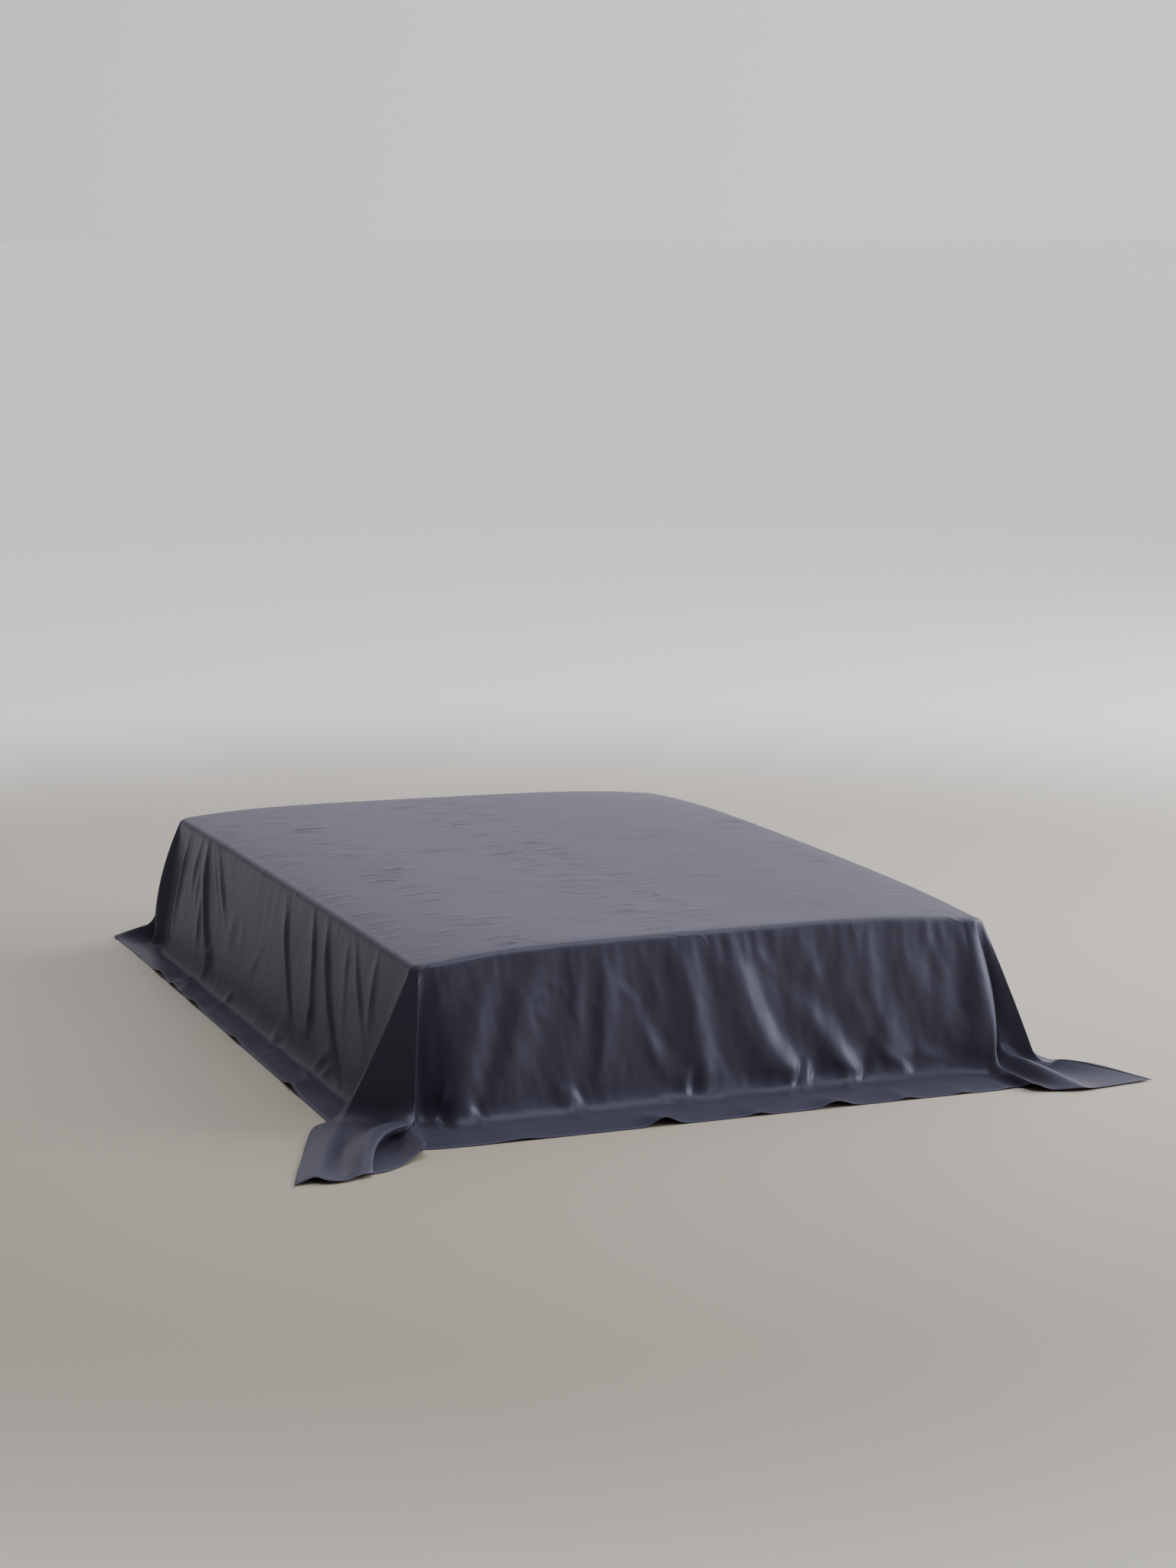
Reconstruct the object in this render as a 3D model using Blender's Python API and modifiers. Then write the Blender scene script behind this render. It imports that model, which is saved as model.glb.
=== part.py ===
"""A flat bed sheet draped over a plain mattress down to the floor.

Metres, +Z up. The origin is the middle of the mattress's underside, on the floor.
+Y runs from the foot end to the head end, +X to the right seen from the foot end.
The sheet is one solid: columns of cloth that leave the mattress's top edge, fall to
the floor and run out over it to the hem, joined to a crowned middle. The mattress is
a second, separate solid.
"""

import math
from collections import namedtuple

import bmesh
import bpy
import numpy as np
from mathutils import Vector

MM = 0.001

# Mattress
WIDTH = 1.40
LENGTH = 2.00
CORNER_HEIGHT = 0.344
HEAD_RIGHT_SAG = 0.020
CROWN_FOOT = 0.030
CROWN_HEAD = 0.023
CROWN_LEFT = 0.006
CROWN_RIGHT = 0.018
CORNER_RADIUS = 0.045
EDGE_RADIUS = 0.025
BASE_RADIUS = 0.012
HALF_WIDTH = WIDTH / 2
HALF_LENGTH = LENGTH / 2

# The middle of the top, a grid that the sheet and the mattress share
MIDDLE_INSET = 0.10
MIDDLE_CELLS_X = 10
MIDDLE_CELLS_Y = 14

# Sheet
THICKNESS = 0.0024
SEAT_GAP = 0.0008
EDGE_GAP = 0.0030
EDGE_CLEARANCE = 0.0055
FOOT_ROUNDING = 0.035
HALF_THICKNESS = THICKNESS / 2

# How many steps each stretch of a column of cloth is cut into
BEND_STEPS = 3
HANG_STEPS = 5
FOOT_STEPS = 2
FLANGE_STEPS = 3

# How far down a column its stretches end: 1 is the floor and 2 the hem
BEND_DOWN = 0.1
HANG_DOWN = 0.9
FOOT_DOWN = 1.1
HEM_DOWN = 2.0

# Columns in each panel between two corners
PANEL_STEPS = {"foot": 46, "right": 22, "head": 15, "left": 44}

# A column of cloth near a corner, in millimetres. Each mark is how far it lies out
# past the long side, how far out past the end side, and its height: halfway down,
# where it meets the floor, halfway out over the floor, and at the hem. turn is the
# way the column leaves the top of the mattress, in degrees from the end side's
# outward direction to the long side's. steps is how many columns it takes to the
# next row.
Column = namedtuple("Column", "name turn mid crease flange hem steps")

FOOT_LEFT = (
    Column("foot panel", 0, (-150, 40, 180), (-150, 76, 0), (-150, 160, 0), (-150, 245, 0), 2),
    Column("foot panel end", 0, (-75, 40, 180), (-72, 80, 0), (-64, 162, 0), (-55, 244, 0), 2),
    Column("recess", 8, (-30, 14, 180), (-26, 42, 0), (-6, 145, 0), (12, 240, 0), 1),
    Column("tuck", 20, (-6, 20, 180), (2, 38, 3), (26, 128, 1), (66, 234, 0), 2),
    Column("upright ridge", 40, (10, 52, 180), (24, 82, 20), (42, 142, 22), (54, 224, 20), 1),
    Column("tail hollow", 46, (22, 44, 180), (46, 66, 20), (94, 172, 12), (124, 296, 10), 1),
    Column("tail fold", 49, (34, 36, 180), (64, 52, 28), (122, 200, 44), (172, 340, 10), 1),
    Column("wing", 52, (50, 22, 180), (94, 22, 12), (170, 178, 10), (215, 368, 4), 2),
    Column("wing outer", 56, (68, 0, 180), (130, -22, 12), (222, 160, 10), (285, 386, 16), 1),
    Column("slanting ridge", 60, (78, -18, 180), (150, -46, 14), (256, 155, 22), (345, 394, 22), 1),
    Column("tail tip", 64, (72, -32, 180), (156, -58, 12), (280, 130, 10), (394, 388, 4), 4),
    Column("tail edge", 68, (60, -46, 180), (148, -70, 12), (200, -34, 8), (246, 8, 6), 1),
    Column("under tail", 74, (46, -56, 180), (112, -88, 2), (150, -66, 0), (192, -40, 0), 1),
    Column("side panel end", 84, (38, -105, 180), (84, -130, 0), (134, -100, 0), (187, -75, 0), 2),
    Column("side panel", 90, (44, -210, 180), (80, -210, 0), (132, -210, 0), (184, -210, 0), 0),
)

FOOT_RIGHT = (
    Column("foot panel", 0, (-150, 42, 180), (-150, 78, 0), (-150, 162, 0), (-150, 248, 0), 2),
    Column("foot panel end", 0, (-75, 46, 180), (-80, 84, 0), (-72, 166, 0), (-66, 251, 0), 2),
    Column("under fold", 8, (-24, 48, 180), (-34, 92, 0), (-10, 168, 0), (4, 256, 0), 2),
    Column("upright ridge", 22, (6, 52, 180), (-2, 104, 10), (-22, 180, 28), (-6, 258, 24), 1),
    Column("tuck", 36, (-1, 14, 180), (12, 50, 24), (18, 172, 18), (50, 280, 10), 1),
    Column("tail fold", 44, (20, 18, 180), (34, 62, 36), (48, 192, 36), (122, 330, 10), 1),
    Column("outer face", 50, (40, 34, 180), (70, 86, 12), (102, 182, 6), (195, 320, 3), 2),
    Column("outer ridge", 58, (58, 40, 180), (100, 106, 10), (168, 180, 30), (288, 296, 3), 3),
    Column("side face", 66, (54, 4, 180), (108, 60, 6), (166, 110, 6), (228, 150, 0), 2),
    Column("side tuck", 74, (28, -34, 180), (62, 0, 0), (116, 8, 0), (172, 20, 0), 2),
    Column("side ridge", 82, (54, -80, 180), (96, -60, 0), (134, -56, 0), (172, -50, 0), 2),
    Column("side panel end", 90, (36, -140, 180), (70, -135, 0), (120, -132, 0), (172, -130, 0), 1),
    Column("side panel", 90, (44, -190, 180), (80, -190, 0), (126, -190, 0), (172, -190, 0), 0),
)

HEAD_LEFT = (
    Column("head panel", 0, (-150, 38, 180), (-150, 68, 0), (-150, 94, 0), (-150, 118, 0), 2),
    Column("head panel end", 4, (-64, 36, 180), (-62, 64, 0), (-60, 95, 0), (-58, 124, 0), 1),
    Column("head ridge", 24, (-4, 52, 180), (6, 86, 0), (22, 110, 0), (40, 134, 0), 1),
    Column("head tuck", 36, (12, 26, 180), (36, 52, 6), (70, 92, 4), (100, 130, 0), 1),
    Column("flare", 46, (36, 32, 180), (66, 58, 22), (108, 90, 12), (157, 128, 3), 2),
    Column("corner tuck", 54, (28, 2, 180), (52, 22, 8), (102, 48, 0), (160, 66, 0), 1),
    Column("upright ridge", 64, (62, -16, 180), (84, -6, 0), (122, 2, 0), (160, 10, 0), 1),
    Column("side hollow", 76, (34, -60, 180), (64, -62, 0), (112, -60, 0), (159, -58, 0), 2),
    Column("side panel", 90, (42, -150, 180), (78, -150, 0), (120, -150, 0), (160, -150, 0), 0),
)

HEAD_RIGHT = (
    Column("head panel", 0, (-150, 38, 180), (-150, 68, 0), (-150, 94, 0), (-150, 118, 0), 2),
    Column("head panel end", 4, (-64, 36, 180), (-62, 66, 0), (-60, 96, 0), (-58, 124, 0), 1),
    Column("head ridge", 22, (-6, 52, 180), (0, 90, 0), (12, 114, 0), (26, 138, 0), 1),
    Column("head tuck", 36, (10, 22, 180), (30, 46, 4), (62, 88, 4), (92, 130, 0), 1),
    Column("outer ridge", 50, (56, 40, 180), (98, 78, 10), (146, 120, 14), (196, 160, 3), 2),
    Column("side tuck", 62, (28, 0, 180), (58, 20, 4), (118, 40, 0), (176, 56, 0), 1),
    Column("side ridge", 76, (54, -50, 180), (92, -44, 0), (132, -36, 0), (172, -28, 0), 2),
    Column("side panel", 90, (44, -150, 180), (80, -150, 0), (126, -150, 0), (172, -150, 0), 0),
)

# Soft folds that run down a panel, in millimetres: where the fold stands along its
# side at the top edge, halfway down and at the floor, how far it stands out, and its
# half width. Along is X on the foot and head sides and Y on the long sides.
Fold = namedtuple("Fold", "side top mid floor lift width")

FOLDS = (
    Fold("foot", -560, -600, -660, 12, 26),
    Fold("foot", -500, -530, -570, 14, 24),
    Fold("foot", -410, -450, -510, 16, 26),
    Fold("foot", -310, -310, -330, 12, 26),
    Fold("foot", -160, -130, -100, 10, 22),
    Fold("foot", -95, -45, -40, 18, 22),
    Fold("foot", 50, 90, 210, 20, 26),
    Fold("foot", 190, 240, 350, 14, 22),
    Fold("foot", 300, 350, 410, 12, 22),
    Fold("foot", 390, 430, 480, 18, 20),
    Fold("foot", 450, 540, 620, 20, 24),
    Fold("left", 850, 865, 880, 16, 24),
    Fold("left", 740, 700, 660, 12, 22),
    Fold("left", 670, 560, 430, 20, 26),
    Fold("left", 580, 410, 300, 12, 28),
    Fold("left", 140, 60, 20, 10, 40),
    Fold("left", -30, -160, -290, 16, 26),
    Fold("left", -240, -350, -390, 16, 24),
    Fold("left", -350, -500, -690, 18, 26),
    Fold("left", -520, -610, -680, 8, 24),
    Fold("left", -580, -740, -860, 12, 22),
    Fold("right", -640, -660, -690, 16, 28),
    Fold("right", -380, -360, -330, 12, 32),
    Fold("right", -60, -100, -160, 16, 30),
    Fold("right", 240, 270, 320, 13, 32),
    Fold("right", 560, 600, 660, 16, 28),
    Fold("head", -360, -380, -420, 14, 32),
    Fold("head", -100, -80, -60, 10, 34),
    Fold("head", 180, 210, 260, 16, 32),
    Fold("head", 420, 440, 470, 12, 30),
)
FOLD_FULL_DOWN = 0.40
FOLD_FADE_DOWN = 1.0
FOLD_END_DOWN = 1.35

# Places where the hem arches up off the floor, in millimetres: the middle of the
# arch along its side, its height and its half width.
Arch = namedtuple("Arch", "side along height width")

ARCHES = (
    Arch("foot", -540, 6, 55),
    Arch("foot", -205, 20, 38),
    Arch("foot", 20, 8, 34),
    Arch("foot", 215, 16, 40),
    Arch("foot", 400, 7, 34),
    Arch("left", 610, 12, 50),
    Arch("left", 250, 10, 55),
    Arch("left", -150, 9, 50),
    Arch("left", -640, 12, 55),
    Arch("right", -250, 10, 60),
    Arch("right", 330, 12, 60),
    Arch("head", 240, 10, 60),
)

# Which way each side faces
OUTWARD = {
    "foot": np.array([0.0, -1.0, 0.0]),
    "right": np.array([1.0, 0.0, 0.0]),
    "head": np.array([0.0, 1.0, 0.0]),
    "left": np.array([-1.0, 0.0, 0.0]),
}

# Colours and finishes
SHEET_COLOUR = (0.098, 0.101, 0.135, 1.0)
SHEET_ROUGHNESS = 0.55
MATTRESS_COLOUR = (0.72, 0.70, 0.66, 1.0)
MATTRESS_ROUGHNESS = 0.85


def mattress_top(x, y):
    """Height of the mattress's crowned top, which sags a little at the head's right corner."""
    u = min(max(x / HALF_WIDTH, -1.0), 1.0)
    v = min(max(y / HALF_LENGTH, -1.0), 1.0)
    right, back = (1 + u) / 2, (1 + v) / 2
    crown = CROWN_FOOT + (CROWN_HEAD - CROWN_FOOT) * back
    side = (CROWN_LEFT + (CROWN_RIGHT - CROWN_LEFT) * right) * u * u
    sag = HEAD_RIGHT_SAG * right * back**4
    return CORNER_HEIGHT - sag + crown * (1 - u**4) + side * (1 - v**4)


def blend(start, control, end, t):
    """A point of the curve that leaves start and reaches end, drawn towards control."""
    return start * (1 - t) ** 2 + control * (2 * t * (1 - t)) + end * t * t


def through(start, middle, end, t):
    """A point of the curve that runs from start through middle, at its half, to end."""
    return blend(start, middle * 2 - (start + end) / 2, end, t)


def toward(start, end, distance):
    """The point that far from start towards end, and no further than halfway."""
    run = end - start
    return start + run * min(0.5, distance / np.linalg.norm(run))


def spline(rows, i, t):
    """Catmull-Rom curve between rows i and i + 1 of an array of control rows."""
    a, b = rows[max(i - 1, 0)], rows[i]
    c, d = rows[i + 1], rows[min(i + 2, len(rows) - 1)]
    return b + 0.5 * t * (c - a + t * (2 * a - 5 * b + 4 * c - d + t * (3 * (b - c) + d - a)))


def fall(x, y, outward, marks):
    """One column of cloth from the mattress's top at x, y down its marks, and how far down.

    The marks are halfway down, at the floor, halfway out over the floor, and the hem.
    No point lies lower than the cloth's middle layer does where it rests on the floor.
    """
    mid, crease, flange, hem = marks
    start = np.array([x, y, mattress_top(x, y) + EDGE_GAP + HALF_THICKNESS])
    edge = start + outward * (EDGE_RADIUS + EDGE_CLEARANCE)
    bend_end = toward(edge, mid, EDGE_RADIUS)
    foot_start = toward(crease, mid, FOOT_ROUNDING)
    foot_end = toward(crease, flange, FOOT_ROUNDING)
    stretches = (
        (blend, start, edge, bend_end, BEND_STEPS, 0.0, BEND_DOWN),
        (through, bend_end, mid, foot_start, HANG_STEPS, BEND_DOWN, HANG_DOWN),
        (blend, foot_start, crease, foot_end, FOOT_STEPS, HANG_DOWN, FOOT_DOWN),
        (through, foot_end, flange, hem, FLANGE_STEPS, FOOT_DOWN, HEM_DOWN),
    )
    points, downs = [], []
    for curve, first, middle, last, steps, down, down_end in stretches:
        for k in range(steps):
            points.append(curve(first, middle, last, k / steps))
            downs.append(down + (down_end - down) * k / steps)
    points = np.array(points + [hem])
    points[:, 2] = np.maximum(points[:, 2], HALF_THICKNESS)
    return points, np.array(downs + [HEM_DOWN])


def fold_lift(side, along, down):
    """How far the soft folds of a side stand out at that place along it and down it."""
    rise = min(1.0, down / FOLD_FULL_DOWN)
    fade = (FOLD_END_DOWN - down) / (FOLD_END_DOWN - FOLD_FADE_DOWN)
    lift = 0.0
    for fold in FOLDS:
        if fold.side == side:
            centre = through(fold.top, fold.mid, fold.floor, min(down, 1.0)) * MM
            lift += fold.lift * MM * math.exp(-(((along - centre) / (fold.width * MM)) ** 2))
    return lift * rise * min(max(fade, 0.0), 1.0)


def arch_lift(side, along, down):
    """How far the hem's arches raise the cloth off the floor."""
    out = max(0.0, (down - FOOT_DOWN) / (HEM_DOWN - FOOT_DOWN))
    lift = 0.0
    for arch in ARCHES:
        if arch.side == side:
            lift += arch.height * MM * math.exp(-(((along - arch.along * MM) / (arch.width * MM)) ** 2))
    return lift * out * out


def place(mark, x_sign, y_sign):
    """A corner table's mark as a point, seen from that corner of the mattress."""
    past_side, past_end, height = (value * MM for value in mark)
    x = x_sign * (HALF_WIDTH + past_side)
    y = y_sign * (HALF_LENGTH + past_end)
    return np.array([x, y, max(height, 0.0) + HALF_THICKNESS])


def corner_columns(table, x_sign, y_sign):
    """The columns of cloth round one corner, from its end side to its long side."""
    rows = np.array([(c.turn, *c.mid, *c.crease, *c.flange, *c.hem) for c in table], float)
    inner = CORNER_RADIUS - EDGE_RADIUS
    columns = []
    for i, row in enumerate(table):
        for k in range(max(row.steps, 1)):
            values = spline(rows, i, k / row.steps) if row.steps else rows[i]
            turn = math.radians(min(max(values[0], 0.0), 90.0))
            outward = np.array([x_sign * math.sin(turn), y_sign * math.cos(turn), 0.0])
            x = x_sign * (HALF_WIDTH - CORNER_RADIUS + inner * math.sin(turn))
            y = y_sign * (HALF_LENGTH - CORNER_RADIUS + inner * math.cos(turn))
            marks = [place(mark, x_sign, y_sign) for mark in values[1:].reshape(4, 3)]
            if turn == 0.0:
                x = x_sign * min(abs(marks[0][0]), HALF_WIDTH - CORNER_RADIUS)
            if turn == math.pi / 2:
                y = y_sign * min(abs(marks[0][1]), HALF_LENGTH - CORNER_RADIUS)
            columns.append(fall(x, y, outward, marks)[0])
    return columns


def panel_columns(side, first, last):
    """The columns of cloth along one side, between two corners' outer columns.

    first and last are each a table row with the signs of its corner.
    """
    outward = OUTWARD[side]
    axis = 1 if outward[1] == 0 else 0
    ends = []
    for row, x_sign, y_sign in (first, last):
        ends.append([place(mark, x_sign, y_sign) for mark in (row.mid, row.crease, row.flange, row.hem)])
    columns = []
    for k in range(1, PANEL_STEPS[side]):
        t = k / PANEL_STEPS[side]
        marks = [a * (1 - t) + b * t for a, b in zip(*ends)]
        along = marks[0][axis]
        start = outward * (HALF_LENGTH if axis == 0 else HALF_WIDTH) - outward * EDGE_RADIUS
        start[axis] = along
        points, downs = fall(start[0], start[1], outward, marks)
        columns.append(stand_out(points, downs, side, along))
    return columns


def stand_out(points, downs, side, along):
    """Moves a panel's column out of its own surface by its folds, and up by its arches."""
    tangents = np.gradient(points, axis=0)
    moved = points.copy()
    for k, down in enumerate(downs):
        run = tangents[k] @ OUTWARD[side]
        normal = np.array([0.0, 0.0, run]) - OUTWARD[side] * tangents[k][2]
        moved[k] += normal / np.linalg.norm(normal) * fold_lift(side, along, down)
        moved[k][2] += arch_lift(side, along, down)
    return moved


def skirt_columns():
    """All the columns of the hanging part in one closed round: foot, right, head, left."""
    foot_left = (FOOT_LEFT, -1, -1)
    foot_right = (FOOT_RIGHT, 1, -1)
    head_right = (HEAD_RIGHT, 1, 1)
    head_left = (HEAD_LEFT, -1, 1)

    def outer(corner, index):
        table, x_sign, y_sign = corner
        return table[index], x_sign, y_sign

    columns = panel_columns("foot", outer(foot_left, 0), outer(foot_right, 0))
    columns += corner_columns(*foot_right)
    columns += panel_columns("right", outer(foot_right, -1), outer(head_right, -1))
    columns += corner_columns(*head_right)[::-1]
    columns += panel_columns("head", outer(head_right, 0), outer(head_left, 0))
    columns += corner_columns(*head_left)
    columns += panel_columns("left", outer(head_left, -1), outer(foot_left, -1))
    columns += corner_columns(*foot_left)[::-1]
    return columns


def loft(mesh, rows):
    """Faces between closed rows of points, all with the same number of points."""
    rings = [[mesh.verts.new(Vector(point)) for point in row] for row in rows]
    count = len(rings[0])
    for upper, lower in zip(rings, rings[1:]):
        for k in range(count):
            n = (k + 1) % count
            mesh.faces.new((upper[k], lower[k], lower[n], upper[n]))
    return rings


def add_middle(mesh, ring, lift):
    """The crowned middle of the top, joined to the ring of points that lies round it."""
    made = bmesh.ops.create_grid(mesh, x_segments=MIDDLE_CELLS_X, y_segments=MIDDLE_CELLS_Y, size=1.0)
    for vert in made["verts"]:
        vert.co.x *= HALF_WIDTH - MIDDLE_INSET
        vert.co.y *= HALF_LENGTH - MIDDLE_INSET
        vert.co.z = mattress_top(vert.co.x, vert.co.y) + lift
    inside = {edge for vert in made["verts"] for edge in vert.link_edges if edge.is_boundary}
    outside = [mesh.edges.get((ring[k - 1], ring[k])) for k in range(len(ring))]
    bmesh.ops.bridge_loops(mesh, edges=list(inside) + outside)


def add_object(name, mesh, material, collection):
    """Puts a finished bmesh in the collection as one named object."""
    bmesh.ops.recalc_face_normals(mesh, faces=mesh.faces)
    data = bpy.data.meshes.new(name)
    mesh.to_mesh(data)
    mesh.free()
    data.materials.append(material)
    data.shade_smooth()
    made = bpy.data.objects.new(name, data)
    collection.objects.link(made)
    return made


def make_material(name, colour, roughness):
    """A plain finish in the object's colour."""
    material = bpy.data.materials.new(name)
    material.use_nodes = True
    shader = material.node_tree.nodes["Principled BSDF"]
    shader.inputs["Base Color"].default_value = colour
    shader.inputs["Roughness"].default_value = roughness
    return material


def build_sheet(collection):
    """The sheet: its hanging columns, its crowned middle, and its thickness."""
    mesh = bmesh.new()
    columns = skirt_columns()
    rings = loft(mesh, zip(*columns))
    add_middle(mesh, rings[0], SEAT_GAP + HALF_THICKNESS)
    # Both faces of the cloth then bend along the same lines
    bmesh.ops.triangulate(mesh, faces=mesh.faces)
    material = make_material("sheet", SHEET_COLOUR, SHEET_ROUGHNESS)
    sheet = add_object("sheet", mesh, material, collection)
    solid = sheet.modifiers.new("thickness", "SOLIDIFY")
    solid.thickness = THICKNESS
    solid.offset = 0.0


def rounded_outline(inset, drop):
    """A closed row of points round the mattress, so far inside it and below its top."""
    radius = CORNER_RADIUS - inset
    arcs = []
    for quarter, (x_sign, y_sign) in enumerate(((1, -1), (1, 1), (-1, 1), (-1, -1))):
        turns = [math.radians(90 * (quarter - 1) + 30 * k) for k in range(4)]
        centre_x = x_sign * (HALF_WIDTH - CORNER_RADIUS)
        centre_y = y_sign * (HALF_LENGTH - CORNER_RADIUS)
        arcs.append([(centre_x + radius * math.cos(a), centre_y + radius * math.sin(a)) for a in turns])
    points = []
    for quarter, arc in enumerate(arcs):
        cells = MIDDLE_CELLS_X if quarter % 2 else MIDDLE_CELLS_Y
        start, end = np.array(arc[-1]), np.array(arcs[(quarter + 1) % 4][0])
        points += arc + [tuple(start + (end - start) * k / cells) for k in range(1, cells)]
    return [(x, y, mattress_top(x, y) - drop) for x, y in points]


def build_mattress(collection):
    """The mattress: a plain rounded block with the crowned top that carries the sheet."""
    mesh = bmesh.new()
    rows = []
    for k in range(4):
        angle = math.radians(30 * k)
        inset = EDGE_RADIUS * (1 - math.sin(angle))
        drop = EDGE_RADIUS * (1 - math.cos(angle))
        rows.append(rounded_outline(inset, drop))
    rows.append([(x, y, BASE_RADIUS) for x, y, z in rows[-1]])
    rows.append([(x, y, 0.0) for x, y, z in rounded_outline(BASE_RADIUS, 0.0)])
    rings = loft(mesh, rows)
    add_middle(mesh, rings[0], 0.0)
    bmesh.ops.triangulate(mesh, faces=mesh.faces)
    mesh.faces.new(rings[-1])
    material = make_material("mattress", MATTRESS_COLOUR, MATTRESS_ROUGHNESS)
    add_object("mattress", mesh, material, collection)


def main():
    """Clears the scene and models both pieces in one collection."""
    for old in list(bpy.data.objects):
        bpy.data.objects.remove(old, do_unlink=True)
    collection = bpy.data.collections.new("draped_sheet")
    bpy.context.scene.collection.children.link(collection)
    build_mattress(collection)
    build_sheet(collection)


main()
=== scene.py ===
"""Looks for a flat sheet draped over a mattress: fine cloth, its finish, light and camera.

Metres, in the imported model's frame: +Z up, +Y from the foot end to the head end. The
cloth is one thin sheet. It is made of columns that leave the top edge of the mattress,
fall to the floor and run out to the hem, which is turned under, and of a crowned
middle. Each point also carries how far it lies from the hem and along it, which the
stitches follow.
"""

import math
import random
from collections import namedtuple

import bmesh
import bpy
import numpy as np
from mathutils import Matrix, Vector, noise


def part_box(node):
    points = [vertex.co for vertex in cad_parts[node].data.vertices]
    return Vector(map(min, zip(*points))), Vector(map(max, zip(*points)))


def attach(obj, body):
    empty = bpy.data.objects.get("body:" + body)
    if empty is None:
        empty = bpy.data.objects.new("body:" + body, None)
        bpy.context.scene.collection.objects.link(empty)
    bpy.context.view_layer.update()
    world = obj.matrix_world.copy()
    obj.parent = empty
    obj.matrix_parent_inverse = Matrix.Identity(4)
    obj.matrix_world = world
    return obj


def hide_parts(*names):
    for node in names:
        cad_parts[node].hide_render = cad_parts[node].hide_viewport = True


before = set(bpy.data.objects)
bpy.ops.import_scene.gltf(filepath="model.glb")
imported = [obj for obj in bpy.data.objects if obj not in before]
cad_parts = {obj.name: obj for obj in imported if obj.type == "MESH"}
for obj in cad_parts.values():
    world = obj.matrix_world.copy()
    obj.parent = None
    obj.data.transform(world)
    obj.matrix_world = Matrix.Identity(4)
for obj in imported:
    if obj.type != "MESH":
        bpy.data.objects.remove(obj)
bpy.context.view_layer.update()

MM = 0.001

# Mattress: its half sizes from the frame, its corners' height, and its crowned top
MATTRESS_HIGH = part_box("mattress")[1]
HALF_WIDTH = MATTRESS_HIGH.x
HALF_LENGTH = MATTRESS_HIGH.y
CORNER_HEIGHT = 0.344
HEAD_RIGHT_SAG = 0.020
CROWN_FOOT = 0.030
CROWN_HEAD = 0.023
CROWN_LEFT = 0.006
CROWN_RIGHT = 0.018
CROWN_POWER = 4
CORNER_RADIUS = 0.045
EDGE_RADIUS = 0.014

# How the cloth lies on the mattress and the floor
TOP_GAP = 0.0014
EDGE_CLEARANCE = 0.0045
FLOOR_GAP = 0.0018
FOOT_ROUNDING = 0.042

# How much further out the cloth stands from the mattress at each corner's top
CORNER_FULLNESS = {
    ("foot", "left"): 0.004,
    ("foot", "right"): 0.016,
    ("head", "left"): 0.006,
    ("head", "right"): 0.006,
}

# How far round a corner the top ends of the columns slide into the panels, and how
# far the sides' folds reach into it, in radians
CORNER_SLIDE = 0.30
SIDE_FOLDS_REACH = 0.35

# How many steps each stretch of a column of cloth is cut into
BEND_STEPS = 6
HANG_STEPS = 32
FOOT_STEPS = 9
FLANGE_STEPS = 15

# How far down a column its stretches end: 1 is the floor and 2 the hem
BEND_DOWN = 0.1
HANG_DOWN = 0.9
FOOT_DOWN = 1.1
HEM_DOWN = 2.0

# Columns in each panel, and how many times finer the corner tables are cut
PANEL_STEPS = {"foot": 208, "right": 84, "head": 58, "left": 258}
CORNER_FINENESS = 6

# Hem: the turned edge's thickness and width, and how far it stays off the floor
HEM_THICKNESS = 0.0014
HEM_WIDTH = 0.012
HEM_FLOOR_GAP = 0.0002

# The turned edge's section: out from the edge and down, in shares of its thickness,
# and then back in, in shares of its width, and down
HEM_ROUND = ((0.35, 0.15), (0.5, 0.5), (0.35, 0.85), (0.0, 1.0))
HEM_BACK = ((0.5, 1.0), (1.0, 0.9))

# Stitches along the hem, and how far in from it the cloth is measured for them
MEASURED_INSET = 0.2
STITCH_INSET = 0.0085
STITCH_WIDTH = 0.0012
STITCH_PITCH = 0.0034

# Cloth's colour and finish, how much its tone changes, and how pale its stitches are
SATEEN_COLOUR = (0.047, 0.045, 0.068)
SATEEN_FINISH = {
    "Roughness": 0.42,
    "Specular IOR Level": 0.5,
    "Specular Tint": (0.64, 0.65, 0.94, 1.0),
    "Sheen Weight": 0.13,
    "Sheen Roughness": 0.45,
    "Sheen Tint": (0.52, 0.53, 0.80, 1.0),
}
CLOUD_NOISE = {"Scale": 3.5, "Detail": 3.0, "Roughness": 0.55}
CLOUD_DEPTH = 0.10
STITCH_PALENESS = 5.0

# Cloth's relief: strength and height in metres of each layer, and its noises
PRESSED_RELIEF = (1.0, 0.0035)
HEM_RELIEF = (1.0, 0.0012)
CRUMPLE_RELIEF = (0.12, 0.004)
WEAVE_RELIEF = (0.10, 0.0004)
CRUMPLE_NOISE = {"Scale": 42.0, "Detail": 4.0, "Roughness": 0.5}
WEAVE_NOISE = {"Scale": 900.0, "Detail": 2.0, "Roughness": 0.6}

# How deep the stitch line sinks into the hem, and the share of it that shows thread
STITCH_SINK = 0.7
THREAD_SHARE = 0.75

# Mattress cover
TICKING_COLOUR = (0.72, 0.70, 0.66)
TICKING_FINISH = {"Roughness": 0.85}
TICKING_NOISE = {"Scale": 400.0, "Detail": 2.0}
TICKING_RELIEF = (0.3, 0.001)

# Lines that the sheet was folded along before: the axis that crosses the line, its
# place on that axis, how far wrinkles reach from it, and their share
PRESSED_LINES = (
    ("X", -0.46, 0.11, 1.0),
    ("X", -0.08, 0.10, 1.0),
    ("X", 0.04, 0.08, 0.8),
    ("X", -0.66, 0.09, 0.8),
    ("X", 0.62, 0.09, 0.7),
    ("Y", 0.17, 0.09, 0.7),
    ("Y", -0.40, 0.09, 0.6),
    ("Y", -0.78, 0.12, 0.5),
)

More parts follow.
